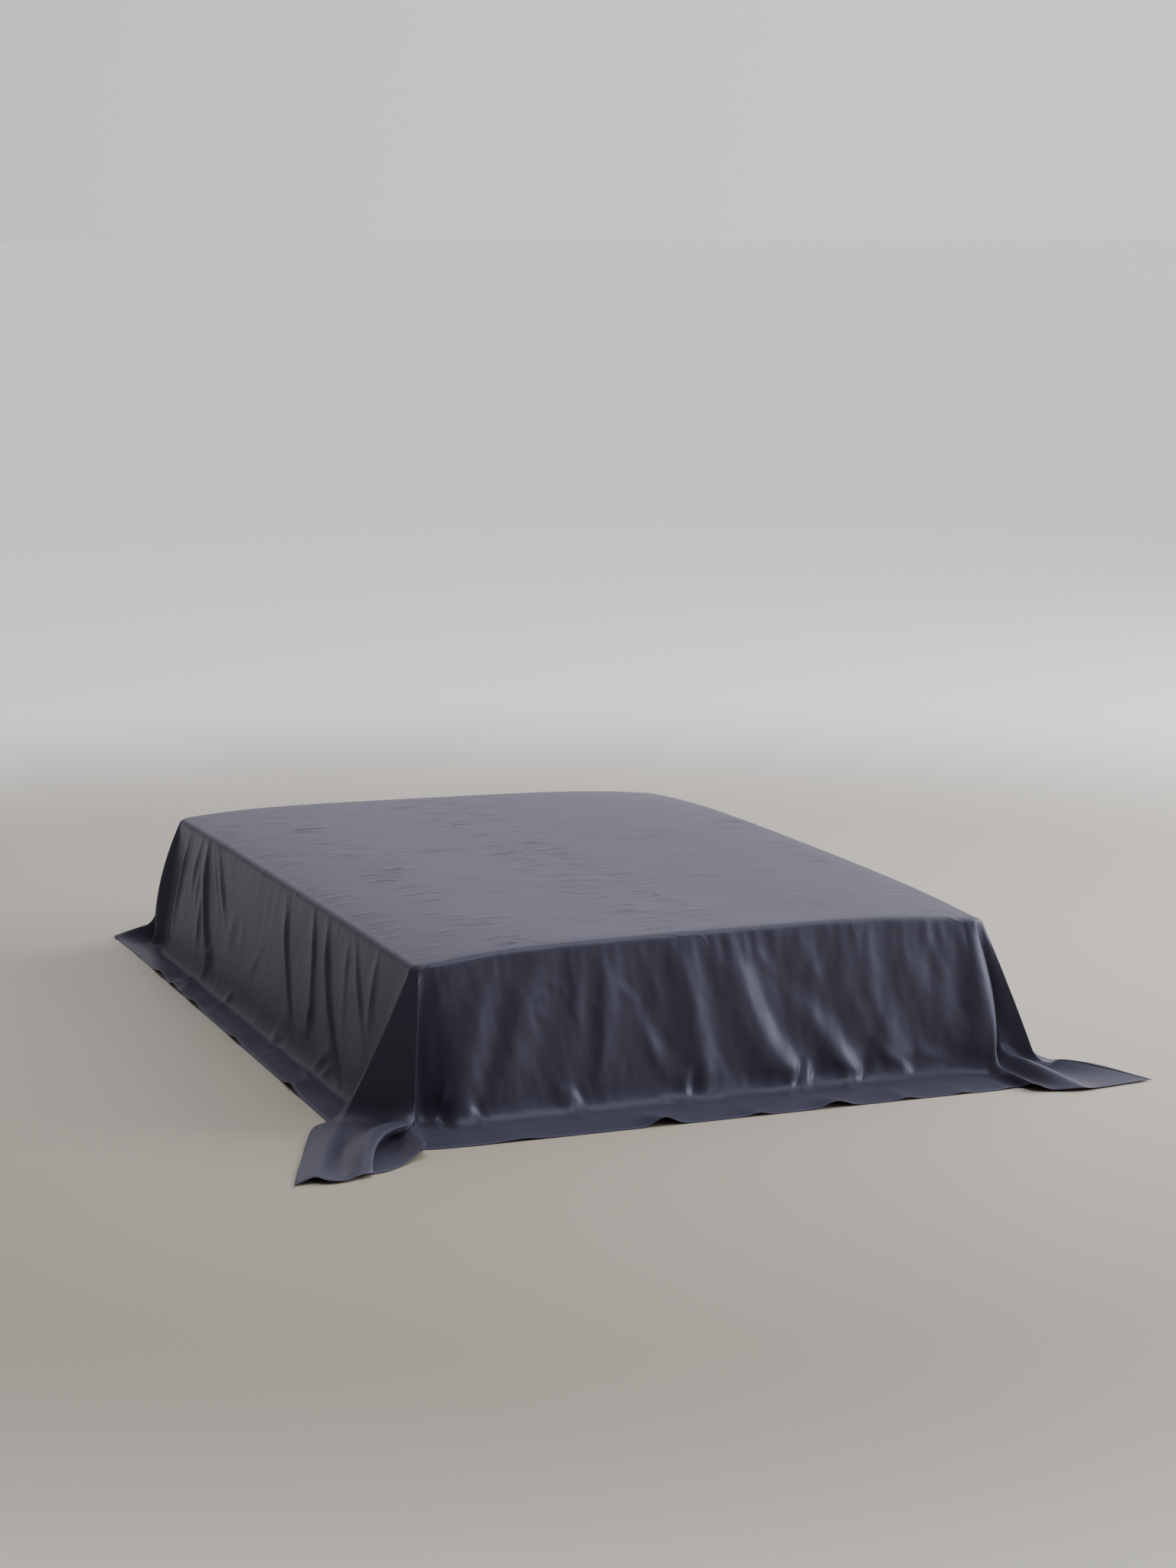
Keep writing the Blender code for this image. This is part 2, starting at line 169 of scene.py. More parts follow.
# Fine wrinkles: their share away from the lines, the height above which cloth has
# them, their turn in degrees, stretch and width, and the patches they come in
WRINKLES_ELSEWHERE = 0.2
WRINKLES_ABOVE = CORNER_HEIGHT - 0.004
WRINKLE_TURN = 9.0
WRINKLE_STRETCH = (7.0, 30.0, 1.0)
WRINKLE_NOISE = {"Scale": 1.0, "Detail": 1.0, "Distortion": 0.5}
WRINKLE_LEVEL = 0.5
WRINKLE_WIDTH = 0.05
PATCH_NOISE = {"Scale": 9.0, "Detail": 1.0}
PATCH_LEVEL = 0.75
PATCH_FADE = 0.34

# The middle of the top: how far in it starts, and the size of its cells
MIDDLE_INSET = 0.035
CELL_ACROSS = 0.013
CELL_ALONG = 0.0066

# Cloth that lies on the top: how high it is, and how far in from the mattress's sides
LYING_HEIGHT = 0.3
LYING_INSET = 0.015

# A column of cloth near a corner, in millimetres. Each mark is how far it lies out
# past the long side, how far out past the end side, and its height: halfway down,
# which is always MID_HEIGHT, where it meets the floor, halfway out over the floor,
# and at the hem. turn is the way the column leaves the top of the mattress, in
# degrees from the end side's outward direction to the long side's. steps is how many
# columns it takes to the next row, times CORNER_FINENESS.
MID_HEIGHT = 180
Column = namedtuple("Column", "name turn mid crease flange hem steps")

FOOT_LEFT = (
    Column("foot panel", 0, (-150, 40), (-150, 76, 0), (-150, 160, 0), (-150, 245, 0), 2),
    Column("foot panel end", 0, (-75, 40), (-72, 80, 0), (-64, 162, 0), (-55, 244, 0), 2),
    Column("recess", 8, (-34, 22), (-26, 44, 0), (-4, 145, 0), (20, 240, 0), 1),
    Column("tuck", 18, (-1, 7), (8, 32, 2), (24, 124, 1), (66, 236, 0), 1),
    Column("flap edge", 27, (8, 17), (22, 58, 10), (70, 178, 28), (73, 284, 27), 1),
    Column("flap", 31, (14, 28), (28, 68, 4), (114, 210, 5), (124, 322, 8), 1),
    Column("hollow", 34, (19, 38), (42, 76, 3), (160, 232, 1), (186, 362, 1), 1),
    Column("ridge front", 38, (22, 48), (54, 76, 10), (184, 222, 8), (234, 372, 2), 1),
    Column("upright ridge", 41, (18, 61), (37, 95, 22), (161, 238, 32), (226, 385, 7), 1),
    Column("ridge back", 44, (28, 50), (54, 78, 28), (182, 222, 42), (254, 394, 9), 1),
    Column("wing", 50, (46, 24), (92, 26, 12), (214, 184, 10), (294, 405, 4), 1),
    Column("wing outer", 56, (66, 0), (128, -6, 12), (222, 166, 6), (330, 404, 8), 1),
    Column("slanting ridge", 60, (78, -18), (154, -32, 15), (248, 158, 14), (354, 388, 13), 1),
    Column("tip front", 62, (75, -26), (156, -43, 14), (268, 139, 10), (387, 391, 5), 1),
    Column("tail tip", 64, (72, -32), (158, -52, 12), (283, 122, 6), (397, 391, 2), 1),
    Column("tip side", 64.5, (71, -33), (157, -53, 12), (280, 116, 6), (394, 381, 2), 3),
    Column("tail edge", 68, (60, -46), (148, -70, 12), (200, -34, 6), (246, 8, 3), 1),
    Column("under tail", 74, (46, -56), (112, -88, 2), (150, -66, 0), (192, -40, 0), 1),
    Column("side panel end", 84, (38, -105), (84, -130, 0), (134, -100, 0), (187, -75, 0), 2),
    Column("side panel", 90, (44, -210), (80, -210, 0), (132, -210, 0), (184, -210, 0), 0),
)

FOOT_RIGHT = (
    Column("foot panel", 0, (-150, 42), (-150, 78, 0), (-150, 162, 0), (-150, 248, 0), 2),
    Column("foot panel end", 0, (-75, 50), (-84, 84, 0), (-84, 166, 0), (-84, 250, 0), 2),
    Column("under fold", 8, (-24, 67), (-36, 104, 0), (-34, 170, 0), (-22, 246, 0), 1),
    Column("upright ridge", 22, (9, 54), (-11, 121, 12), (-14, 204, 21), (-6, 284, 17), 1),
    Column("tuck", 34, (2, 18), (8, 62, 24), (12, 192, 11), (34, 304, 5), 1),
    Column("tail fold", 43, (18, 18), (30, 66, 40), (52, 212, 37), (98, 326, 8), 1),
    Column("outer face", 50, (40, 34), (68, 88, 12), (108, 188, 7), (150, 320, 3), 2),
    Column("tip front", 57, (59, 43), (100, 109, 10), (164, 174, 25), (280, 303, 3), 1),
    Column("outer ridge", 58, (60, 42), (102, 108, 10), (168, 172, 27), (290, 301, 3), 1),
    Column("tip side", 58.5, (60, 40), (103, 106, 10), (168, 169, 26), (287, 293, 3), 2),
    Column("side face", 66, (54, 4), (110, 62, 6), (168, 104, 10), (232, 142, 9), 2),
    Column("side tuck", 74, (28, -34), (62, 0, 0), (116, 16, 0), (172, 34, 0), 2),
    Column("side ridge", 82, (54, -80), (96, -60, 0), (134, -56, 0), (172, -50, 0), 2),
    Column("side panel end", 90, (36, -140), (70, -135, 0), (120, -132, 0), (172, -130, 0), 1),
    Column("side panel", 90, (44, -190), (80, -190, 0), (126, -190, 0), (172, -190, 0), 0),
)

HEAD_LEFT = (
    Column("head panel", 0, (-150, 38), (-150, 68, 0), (-150, 94, 0), (-150, 118, 0), 2),
    Column("head panel end", 4, (-64, 36), (-62, 64, 0), (-60, 95, 0), (-58, 124, 0), 1),
    Column("head ridge", 24, (-4, 52), (6, 86, 0), (22, 110, 0), (40, 134, 0), 1),
    Column("head tuck", 36, (12, 26), (36, 52, 6), (70, 92, 4), (100, 130, 0), 1),
    Column("flare", 46, (36, 32), (66, 58, 44), (106, 90, 27), (157, 128, 3), 2),
    Column("corner tuck", 54, (28, 2), (52, 22, 8), (102, 48, 0), (160, 66, 0), 1),
    Column("upright ridge", 64, (62, -16), (84, -6, 0), (122, 2, 0), (160, 10, 0), 1),
    Column("side hollow", 76, (34, -60), (64, -62, 0), (112, -60, 0), (159, -58, 0), 2),
    Column("side panel", 90, (42, -150), (78, -150, 0), (120, -150, 0), (160, -150, 0), 0),
)

HEAD_RIGHT = (
    Column("head panel", 0, (-150, 38), (-150, 68, 0), (-150, 94, 0), (-150, 118, 0), 2),
    Column("head panel end", 4, (-64, 36), (-62, 66, 0), (-60, 96, 0), (-58, 124, 0), 1),
    Column("head ridge", 22, (-6, 52), (0, 90, 0), (12, 114, 0), (26, 138, 0), 1),
    Column("head tuck", 36, (10, 22), (30, 46, 4), (62, 88, 4), (92, 130, 0), 1),
    Column("outer ridge", 50, (56, 40), (98, 78, 10), (146, 120, 14), (196, 160, 3), 2),
    Column("side tuck", 62, (28, 0), (58, 20, 4), (118, 40, 0), (176, 56, 0), 1),
    Column("side ridge", 76, (54, -50), (92, -44, 0), (132, -36, 0), (172, -28, 0), 2),
    Column("side panel", 90, (44, -150), (80, -150, 0), (126, -150, 0), (172, -150, 0), 0),
)

# Folds that run down the hanging cloth, in millimetres: where the crest stands along
# its side at the top edge, halfway down and at the floor, how far it stands out, its
# half widths on the side of smaller and of greater numbers, how far down it starts
# and ends, and how keen its crest is, from 2, round, to 1, sharp. Along is X on the
# foot and head sides and Y on the long sides.
Fold = namedtuple("Fold", "top mid floor lift before after start end keen")

FOLDS = {"foot": (
    Fold(-608, -690, -760, 5, 30, 26, 0.02, 0.55, 2.0),
    Fold(-528, -575, -618, 10, 44, 34, 0.08, 0.95, 1.8),
    Fold(-440, -482, -560, 12, 36, 48, 0.06, 0.98, 2.0),
    Fold(-376, -366, -360, 4, 14, 18, 0.20, 0.45, 1.8),
    Fold(-312, -335, -360, 7, 22, 26, 0.04, 0.60, 1.8),
    Fold(-270, -268, -312, 9, 22, 44, 0.05, 0.98, 1.6),
    Fold(-150, -122, -70, 9, 36, 24, 0.06, 0.60, 1.6),
    Fold(-215, -174, -95, 8, 24, 28, 0.42, 0.95, 1.5),
    Fold(-93, -48, -38, 18, 52, 44, 0.02, 1.14, 1.7),
    Fold(-42, -25, 0, 4, 14, 16, 0.02, 0.40, 1.6),
    Fold(58, 88, 208, 18, 80, 52, 0.02, 1.14, 1.8),
    Fold(165, 232, 375, 9, 50, 42, 0.30, 1.08, 1.7),
    Fold(215, 285, 345, 7, 46, 30, 0.05, 0.55, 2.0),
    Fold(302, 345, 420, 7, 36, 36, 0.05, 0.85, 1.9),
    Fold(372, 410, 478, 9, 46, 44, 0.05, 1.05, 1.9),
    Fold(452, 545, 680, 7, 70, 54, 0.10, 1.05, 2.0),
    Fold(575, 590, 600, 4, 28, 28, 0.05, 0.70, 2.0),
), "left": (
    Fold(870, 985, 1030, 6, 20, 24, 0.06, 0.62, 1.6),
    Fold(852, 860, 880, 11, 18, 24, 0.08, 1.05, 1.4),
    Fold(712, 738, 640, 9, 15, 20, 0.03, 0.60, 1.4),
    Fold(712, 690, 630, 8, 15, 20, 0.20, 0.66, 1.3),
    Fold(665, 636, 590, 9, 16, 22, 0.28, 0.96, 1.3),
    Fold(678, 585, 400, 17, 20, 32, 0.03, 1.02, 1.2),
    Fold(668, 452, 250, 7, 16, 22, 0.04, 0.62, 1.4),
    Fold(625, 400, 190, 8, 18, 26, 0.04, 0.66, 1.5),
    Fold(320, 330, 330, 6, 34, 34, 0.34, 0.80, 2.0),
    Fold(250, 238, 215, 4, 16, 18, 0.34, 0.72, 1.6),
    Fold(-60, 60, 190, 5, 20, 26, 0.40, 0.85, 1.7),
    Fold(-22, -160, -330, 11, 15, 26, 0.05, 1.02, 1.25),
    Fold(-62, -130, -180, 5, 14, 18, 0.02, 0.45, 1.5),
    Fold(-245, -372, -420, 12, 16, 28, 0.02, 0.92, 1.2),
    Fold(-375, -495, -700, 13, 18, 30, 0.05, 1.10, 1.3),
    Fold(-535, -612, -700, 5, 18, 22, 0.05, 0.80, 1.6),
    Fold(-550, -742, -890, 9, 15, 22, 0.04, 0.76, 1.2),
    Fold(-772, -800, -890, 7, 14, 20, 0.02, 0.68, 1.3),
    Fold(-168, -185, -225, 5, 16, 20, 0.66, 1.08, 1.5),
), "right": (
    Fold(-640, -660, -690, 17, 32, 30, 0.03, 1.12, 1.6),
    Fold(-470, -520, -600, 9, 24, 28, 0.04, 0.80, 1.6),
    Fold(-400, -350, -300, 13, 36, 30, 0.04, 1.08, 1.7),
    Fold(-60, -100, -170, 17, 30, 34, 0.03, 1.12, 1.6),
    Fold(20, 80, 160, 8, 26, 24, 0.05, 0.75, 1.6),
    Fold(230, 270, 330, 13, 32, 36, 0.04, 1.08, 1.7),
    Fold(420, 460, 480, 7, 24, 22, 0.06, 0.70, 1.7),
    Fold(560, 600, 665, 17, 32, 30, 0.03, 1.12, 1.6),
), "head": (
    Fold(-360, -385, -425, 15, 34, 32, 0.04, 1.10, 1.7),
    Fold(-240, -215, -190, 7, 24, 26, 0.05, 0.75, 1.7),
    Fold(-100, -80, -55, 10, 30, 34, 0.04, 1.05, 1.7),
    Fold(180, 212, 262, 17, 32, 34, 0.03, 1.12, 1.6),
    Fold(320, 330, 335, 7, 24, 22, 0.06, 0.70, 1.7),
    Fold(420, 440, 472, 12, 30, 28, 0.04, 1.08, 1.7),
)}

# Valleys beside the folds: how many times wider and how deep, in shares of the fold
VALLEY_WIDTH = 2.2
VALLEY_SHARE = 0.35
VALLEY_KEEN = 2.0

# Over how far down a fold comes in and dies away, and how rounded every crest is
FOLD_EASE = (0.30, 0.34)
CREST_ROUNDING = 0.01

# How uneven each side is, and how strong its folds are
UNEVEN = {"foot": 1.0, "right": 0.6, "head": 0.6, "left": 0.3}
FOLD_SHARE = {"foot": 0.9, "right": 1.0, "head": 1.0, "left": 0.66}

# Where down a column its unevenness starts and ends, and over how far it does
UNEVEN_SPAN = (0.02, 1.5)
UNEVEN_EASE = (0.12, 0.6)

# How far apart in the noise the sides lie, so that none repeats another
NOISE_PAGE = 17.0

# Unevenness of the hanging cloth: height in millimetres, bumps in each metre along
# and down, and how far the bumps lean.
Ripple = namedtuple("Ripple", "height along down lean")

RIPPLES = (
    Ripple(3.2, 9.0, 5.0, 0.5),
    Ripple(2.1, 18.0, 9.0, -0.7),
    Ripple(1.3, 34.0, 18.0, 0.9),
    Ripple(0.45, 62.0, 30.0, -0.8),
)

# Puckers just under the top edge: height in millimetres, how many in each metre along
# and down, how far down they are highest, their reach, and the least share that counts
PUCKER_HEIGHT = 3.4
PUCKERS_PER_METRE = 46.0
PUCKERS_DOWN = 9.0
PUCKER_DOWN = 0.13
PUCKER_REACH = 0.11
PUCKER_FAINTEST = 0.01
PUCKER_PAGE = 5.0

# Patches in which the puckers are strong: how many in each metre, and the least share
PUCKER_PATCHES = 6.0
PUCKER_PATCH_PAGE = 3.0
PUCKER_LEAST = 0.15

# Places where the hem arches up off the floor, in millimetres: the middle of the
# arch along its side, its height and its half width.
Arch = namedtuple("Arch", "along height width")

ARCHES = {"foot": (
    Arch(-540, 5, 50),
    Arch(-205, 20, 32),
    Arch(22, 7, 28),
    Arch(215, 15, 36),
    Arch(392, 6, 26),
    Arch(530, 4, 24),
), "left": (
    Arch(1030, 8, 40),
    Arch(610, 12, 42),
    Arch(470, 9, 30),
    Arch(250, 10, 50),
    Arch(-150, 9, 44),
    Arch(-640, 12, 48),
), "right": (
    Arch(-250, 10, 50),
    Arch(330, 12, 50),
), "head": (
    Arch(240, 10, 50),
)}

# Short tucks where the cloth breaks onto the floor, and crinkles in the wall, in
# millimetres: both ends, along the side and down the cloth from the top edge, the
# height of the ridge, and its half widths on either side of it. The floor is about
# 370 down and the hem 545.
Tuck = namedtuple("Tuck", "along0 fall0 along1 fall1 lift before after")

TUCKS = {"foot": (
    Tuck(-645, 262, -684, 408, 14, 18, 9),
    Tuck(-700, 330, -716, 450, 6, 18, 12),
    Tuck(-612, 330, -576, 424, 6, 24, 14),
    Tuck(-395, 326, -318, 380, 6, 24, 16),
    Tuck(-372, 348, -346, 444, 5, 20, 14),
    Tuck(-72, 318, -100, 440, 9, 20, 13),
    Tuck(-146, 372, -92, 428, 5, 14, 16),
    Tuck(192, 330, 152, 450, 7, 17, 14),
    Tuck(230, 326, 196, 434, 6, 16, 12),
    Tuck(262, 306, 362, 378, 9, 26, 20),
    Tuck(328, 346, 300, 446, 5, 14, 11),
    Tuck(356, 344, 318, 450, 4, 18, 14),
    Tuck(386, 300, 492, 378, 9, 26, 20),
    Tuck(500, 328, 606, 352, 6, 30, 22),
    Tuck(600, 350, 680, 372, 3.1, 16, 16),
    Tuck(-668, 300, -664, 400, -8, 10, 15),
    Tuck(-584, 330, -566, 394, -7, 12, 12),
    Tuck(-344, 322, -318, 400, -5, 14, 14),
    Tuck(-48, 300, -72, 404, -8, 14, 18),
    Tuck(214, 318, 178, 412, -8, 10, 14),
    Tuck(250, 330, 222, 404, -5, 12, 16),
    Tuck(378, 332, 344, 416, -6, 14, 16),
    Tuck(470, 330, 500, 392, -3, 18, 18),
    Tuck(634, 425, 664, 560, 3.7, 24, 16),
    Tuck(-392, 96, -372, 118, 2.5, 7, 8),
    Tuck(-368, 100, -350, 134, 2.8, 7, 8),
    Tuck(-412, 112, -398, 146, 2.2, 7, 8),
    Tuck(-436, 150, -404, 176, 2.2, 8, 8),
    Tuck(-352, 150, -330, 172, 2.4, 8, 8),
    Tuck(-300, 140, -268, 184, 3, 8, 9),
    Tuck(-240, 110, -176, 168, 3.5, 12, 12),
    Tuck(100, 50, 168, 138, 3.5, 14, 14),
    Tuck(240, 108, 262, 142, 3, 18, 18),
    Tuck(370, 286, 420, 292, 2, 8, 8),
    Tuck(-500, 322, -468, 318, 1.2, 9, 9),
), "left": (
    Tuck(462, 268, 506, 372, 7.7, 22, 15),
    Tuck(545, 372, 510, 430, 5.6, 18, 18),
    Tuck(510, 385, 360, 470, 6.3, 22, 22),
    Tuck(255, 345, 225, 385, 4.9, 20, 20),
    Tuck(240, 378, 150, 440, 3.5, 20, 20),
    Tuck(1000, 260, 980, 372, 5.6, 18, 20),
    Tuck(700, 400, 640, 480, 2.8, 25, 25),
    Tuck(880, 390, 860, 480, 2.8, 28, 28),
    Tuck(-160, 350, -222, 388, 4.9, 16, 16),
    Tuck(-300, 372, -280, 430, 3.5, 18, 18),
    Tuck(-405, 240, -398, 318, 7, 18, 18),
    Tuck(-595, 296, -495, 366, 5.6, 15, 18),
    Tuck(-620, 336, -560, 372, 3.5, 12, 12),
    Tuck(-495, 384, -568, 402, 4.2, 12, 15),
    Tuck(-566, 378, -655, 470, 4.9, 18, 18),
    Tuck(20, 380, -40, 450, 2.8, 22, 22),
    Tuck(-780, 380, -760, 450, 2.8, 20, 20),
), "right": (
    Tuck(-580, 320, -530, 400, 10, 18, 18),
    Tuck(-20, 330, 30, 400, 9, 18, 18),
    Tuck(470, 330, 500, 410, 10, 18, 18),
), "head": (
    Tuck(-270, 320, -230, 390, 8, 18, 18),
    Tuck(340, 320, 370, 390, 9, 18, 18),
)}
TUCK_KEEN = 1.5
TUCK_TAPER = 0.8

# Creases left on the top, in millimetres: both ends, the height of the ridge, its
# half width, and how far its middle bows to one side.
Crease = namedtuple("Crease", "x0 y0 x1 y1 lift width bow")

CREASES = [Crease(*row) for row in (
    (-500, 610, -390, 585, 1.8, 7, 6),
    (-470, 300, -350, 210, 1.7, 7, -8),
    (-475, 10, -360, -58, 2.2, 7, 7),
    (-450, -90, -380, -50, 1.4, 6, -4),
    (-130, 92, -30, 70, 1.9, 7, 5),
    (-20, 60, 80, 84, 1.8, 7, -5),
    (-10, 196, 72, 168, 1.9, 7, 4),
    (-130, -130, -40, -112, 1.7, 7, -5),
    (-125, -240, -45, -262, 1.4, 6, 4),
    (-120, -330, -30, -318, 1.6, 7, 6),
    (-130, -420, -36, -398, 1.8, 7, -5),
    (-128, -560, -30, -540, 1.9, 7, 5),
    (-10, -600, 76, -580, 1.6, 7, -5),
    (-8, -500, 62, -520, 1.3, 6, 4),
    (-580, -760, -500, -740, 1.5, 7, 4),
    (-520, -610, -430, -640, 1.3, 7, -4),
    (-510, -400, -420, -436, 1.4, 7, 4),
    (-500, -250, -420, -226, 1.3, 7, -4),
    (540, 130, 560, 430, 1.5, 8, 6),
    (585, 180, 600, 360, 1.2, 7, -5),
    (655, 90, 668, 520, 1.8, 8, 6),
    (180, 400, 225, 480, 1.4, 7, 4),
    (150, 168, 240, 196, 1.5, 7, -4),
    (300, 150, 400, 178, 1.4, 7, 5),
    (-300, 186, -210, 150, 1.5, 7, 4),
    (210, -380, 300, -412, 1.4, 7, -4),
    (-320, -378, -230, -416, 1.5, 7, 4),
    (-680, -240, -600, -262, 1.4, 7, 3),
    (-684, -330, -610, -350, 1.5, 7, -3),
    (-680, -450, -615, -474, 1.4, 7, 3),
    (-684, 350, -600, 322, 1.6, 7, 4),
    (-670, 120, -610, 104, 1.2, 7, -3),
    (-250, 520, -170, 500, 1.3, 7, 4),
    (40, 640, 130, 662, 1.3, 7, -4),
    (-330, 780, -240, 762, 1.2, 8, 4),
)]
CREASE_SHARE = 0.8

# More of them, scattered along the pressed lines, in millimetres: how far apart they
# are, with the shares of it from one to the next, how long, how high, how wide and how
# bowed they are, the middle and the spread of their slopes, and the bare margin
SCATTER_PITCH = 58.0
SCATTER_GAPS = (0.35, 1.65)
SCATTER_LENGTH = (55.0, 130.0)
SCATTER_LIFT = (0.7, 1.9)
SCATTER_WIDTH = (6.0, 8.5)
SCATTER_BOW = (-8.0, 8.0)
SCATTER_SLOPE = (-4.0, 13.0)
SCATTER_MARGIN = 60.0
SCATTER_SEED = 11

# Slow unevenness of the lying cloth: height in millimetres, waves along X and along Y
# in each metre, and phase.
SWELLS = (
    (0.50, 2.3, 1.1, 0.4),
    (0.40, -1.4, 2.6, 1.9),
    (0.30, 4.1, -2.2, 3.1),
    (0.22, 5.6, 4.7, 5.0),
    (0.16, -8.3, 6.1, 0.9),
)

# Which way each side faces
OUTWARD = {
    "foot": np.array([0.0, -1.0, 0.0]),
    "right": np.array([1.0, 0.0, 0.0]),
    "head": np.array([0.0, 1.0, 0.0]),
    "left": np.array([-1.0, 0.0, 0.0]),
}

# Surroundings: their tint, the way they are brightest, over what range along that way
# they brighten, and their strengths
SKY_COLOUR = (0.98, 0.955, 1.0, 1.0)
SKY_BRIGHT_WAY = (0.95, 0.28, -0.12)
SKY_FADE = (-0.5, 1.0)
SKY_DARK = 0.115
SKY_BRIGHT = 1.15

# Square soft lights: name, place, size, and power in watts
LAMPS = (
    ("key", (7.8, 1.8, 4.2), 5.0, 360.0),
    ("side", (7.0, -3.2, 2.6), 3.0, 268.0),
    ("top", (0.3, -1.5, 4.5), 3.5, 88.0),
)

# Floor: its size, its painted shade on the near left, its painted light on the right, its
# colour far away, its finish, over what distances it turns into the far one, and how
# strongly it glows there
FLOOR_SIZE = 400.0
FLOOR_PAINTED_SHADE = (0.43, 0.378, 0.305)
FLOOR_PAINTED_LIGHT = (0.70, 0.645, 0.56)
FLOOR_FAR = (0.93, 0.93, 0.90)
FLOOR_FINISH = {"Roughness": 0.55}
FLOOR_FAR_REACH = (2.6, 5.5)
FLOOR_GLOW = 0.47

# The way the floor's painted shade turns into its painted light, and over what range
# along it
FLOOR_PAINTED_LIGHT_WAY = (0.75, 0.66, 0.0)
FLOOR_PAINTED_LIGHT_REACH = (-3.2, 1.6)

# Camera, as the photo was taken: its place, its turn to the right and down in
# degrees, and its lens on a 36 mm long side
CAMERA_PLACE = (-3.020, -7.863, 1.987)
CAMERA_TURN = 21.688
CAMERA_DOWN = 9.651
SENSOR = 36.0
LENS = 77.34


def mattress_top(x, y):
    """Height of the mattress's crowned top, which sags a little at the head's right corner."""
    u = np.clip(x / HALF_WIDTH, -1.0, 1.0)
    v = np.clip(y / HALF_LENGTH, -1.0, 1.0)
    right, back = (1 + u) / 2, (1 + v) / 2
    crown = CROWN_FOOT + (CROWN_HEAD - CROWN_FOOT) * back
    side = (CROWN_LEFT + (CROWN_RIGHT - CROWN_LEFT) * right) * u * u
    sag = HEAD_RIGHT_SAG * right * back**CROWN_POWER
    return CORNER_HEIGHT - sag + crown * (1 - u**CROWN_POWER) + side * (1 - v**CROWN_POWER)


def scattered_creases():
    """Short creases that cross the pressed lines which run from foot to head."""
    chance = random.Random(SCATTER_SEED)
    end = HALF_LENGTH / MM - SCATTER_MARGIN
    creases = []
    for axis, centre, reach, share in PRESSED_LINES:
        if axis != "X":
            continue
        y = -end
        while y < end:
            x = centre / MM + chance.uniform(-0.5, 0.5) * reach / MM
            half = chance.uniform(*SCATTER_LENGTH) / 2
            slope = chance.gauss(*SCATTER_SLOPE)
            lift = chance.uniform(*SCATTER_LIFT) * share
            width = chance.uniform(*SCATTER_WIDTH)
            bow = chance.uniform(*SCATTER_BOW)
            creases.append(Crease(x - half, y - slope, x + half, y + slope, lift, width, bow))
            y += chance.uniform(*SCATTER_GAPS) * SCATTER_PITCH
    return creases


def beside(x, y, x0, y0, x1, y1):
    """How far along a straight line, as a share of it, and how far beside it a point lies."""
    run_x, run_y = (x1 - x0) * MM, (y1 - y0) * MM
    from_x, from_y = x - x0 * MM, y - y0 * MM
    length = math.hypot(run_x, run_y)
    share = (from_x * run_x + from_y * run_y) / length**2
    return share, (from_x * run_y - from_y * run_x) / length


def lying_relief(x, y):
    """How far the creases and the unevenness raise the cloth that lies on the top."""
    lift = np.zeros_like(x)
    for height, across, along, phase in SWELLS:
        lift += height * MM * (0.5 + 0.5 * np.sin(2 * math.pi * (across * x + along * y) + phase))
    for crease in CREASES + scattered_creases():
        share, off = beside(x, y, crease.x0, crease.y0, crease.x1, crease.y1)
        bulge = 1 - (2 * share - 1) ** 2
        off = (off - crease.bow * MM * bulge) / (crease.width * MM)
        lift += CREASE_SHARE * crease.lift * MM * np.clip(bulge, 0.0, 1.0) * np.exp(-(off**2))
    return lift


def blend(start, control, end, t):
    """A point of the curve that leaves start and reaches end, drawn towards control."""
    return start * (1 - t) ** 2 + control * (2 * t * (1 - t)) + end * t * t


def through(start, middle, end, t):
    """A point of the curve that runs from start through middle, at its half, to end."""
    return blend(start, middle * 2 - (start + end) / 2, end, t)


def toward(start, end, distance):
    """The point that far from start towards end, and no further than halfway."""
    run = end - start
    return start + run * min(0.5, distance / np.linalg.norm(run))


def spline(rows, i, t):
    """Catmull-Rom curve between rows i and i + 1 of an array of control rows."""
    a, b = rows[max(i - 1, 0)], rows[i]
    c, d = rows[i + 1], rows[min(i + 2, len(rows) - 1)]
    return b + 0.5 * t * (c - a + t * (2 * a - 5 * b + 4 * c - d + t * (3 * (b - c) + d - a)))


def fall(x, y, outward, marks, fullness=0.0):
    """One column of cloth from the mattress's top at x, y down its marks."""
    mid, crease, flange, hem = marks
    start = np.array([x, y, mattress_top(x, y) + TOP_GAP])
    edge = start + outward * (EDGE_RADIUS + EDGE_CLEARANCE + fullness)
    bend_end = toward(edge, mid, EDGE_RADIUS)
    foot_start = toward(crease, mid, FOOT_ROUNDING)
    foot_end = toward(crease, flange, FOOT_ROUNDING)
    stretches = (
        (blend, start, edge, bend_end, BEND_STEPS),
        (through, bend_end, mid, foot_start, HANG_STEPS),
        (blend, foot_start, crease, foot_end, FOOT_STEPS),
        (through, foot_end, flange, hem, FLANGE_STEPS),
    )
    points = []
    for curve, first, middle, last, steps in stretches:
        t = (np.arange(steps) / steps)[:, None]
        points.append(curve(first, middle, last, t))
    points = np.vstack(points + [hem[None, :]])
    points[:, 2] = np.maximum(points[:, 2], FLOOR_GAP)
    return points


def column_downs():
    """How far down each point of a column is: 1 is the floor and 2 the hem."""
    ends = (0.0, BEND_DOWN, HANG_DOWN, FOOT_DOWN, HEM_DOWN)
    steps = (BEND_STEPS, HANG_STEPS, FOOT_STEPS, FLANGE_STEPS)
    parts = [np.linspace(a, b, n, endpoint=False) for a, b, n in zip(ends, ends[1:], steps)]
    return np.concatenate(parts + [[HEM_DOWN]])


DOWNS = column_downs()


def ease(value):
    """A smooth step from 0 to 1."""
    value = np.clip(value, 0.0, 1.0)
    return value * value * (3 - 2 * value)


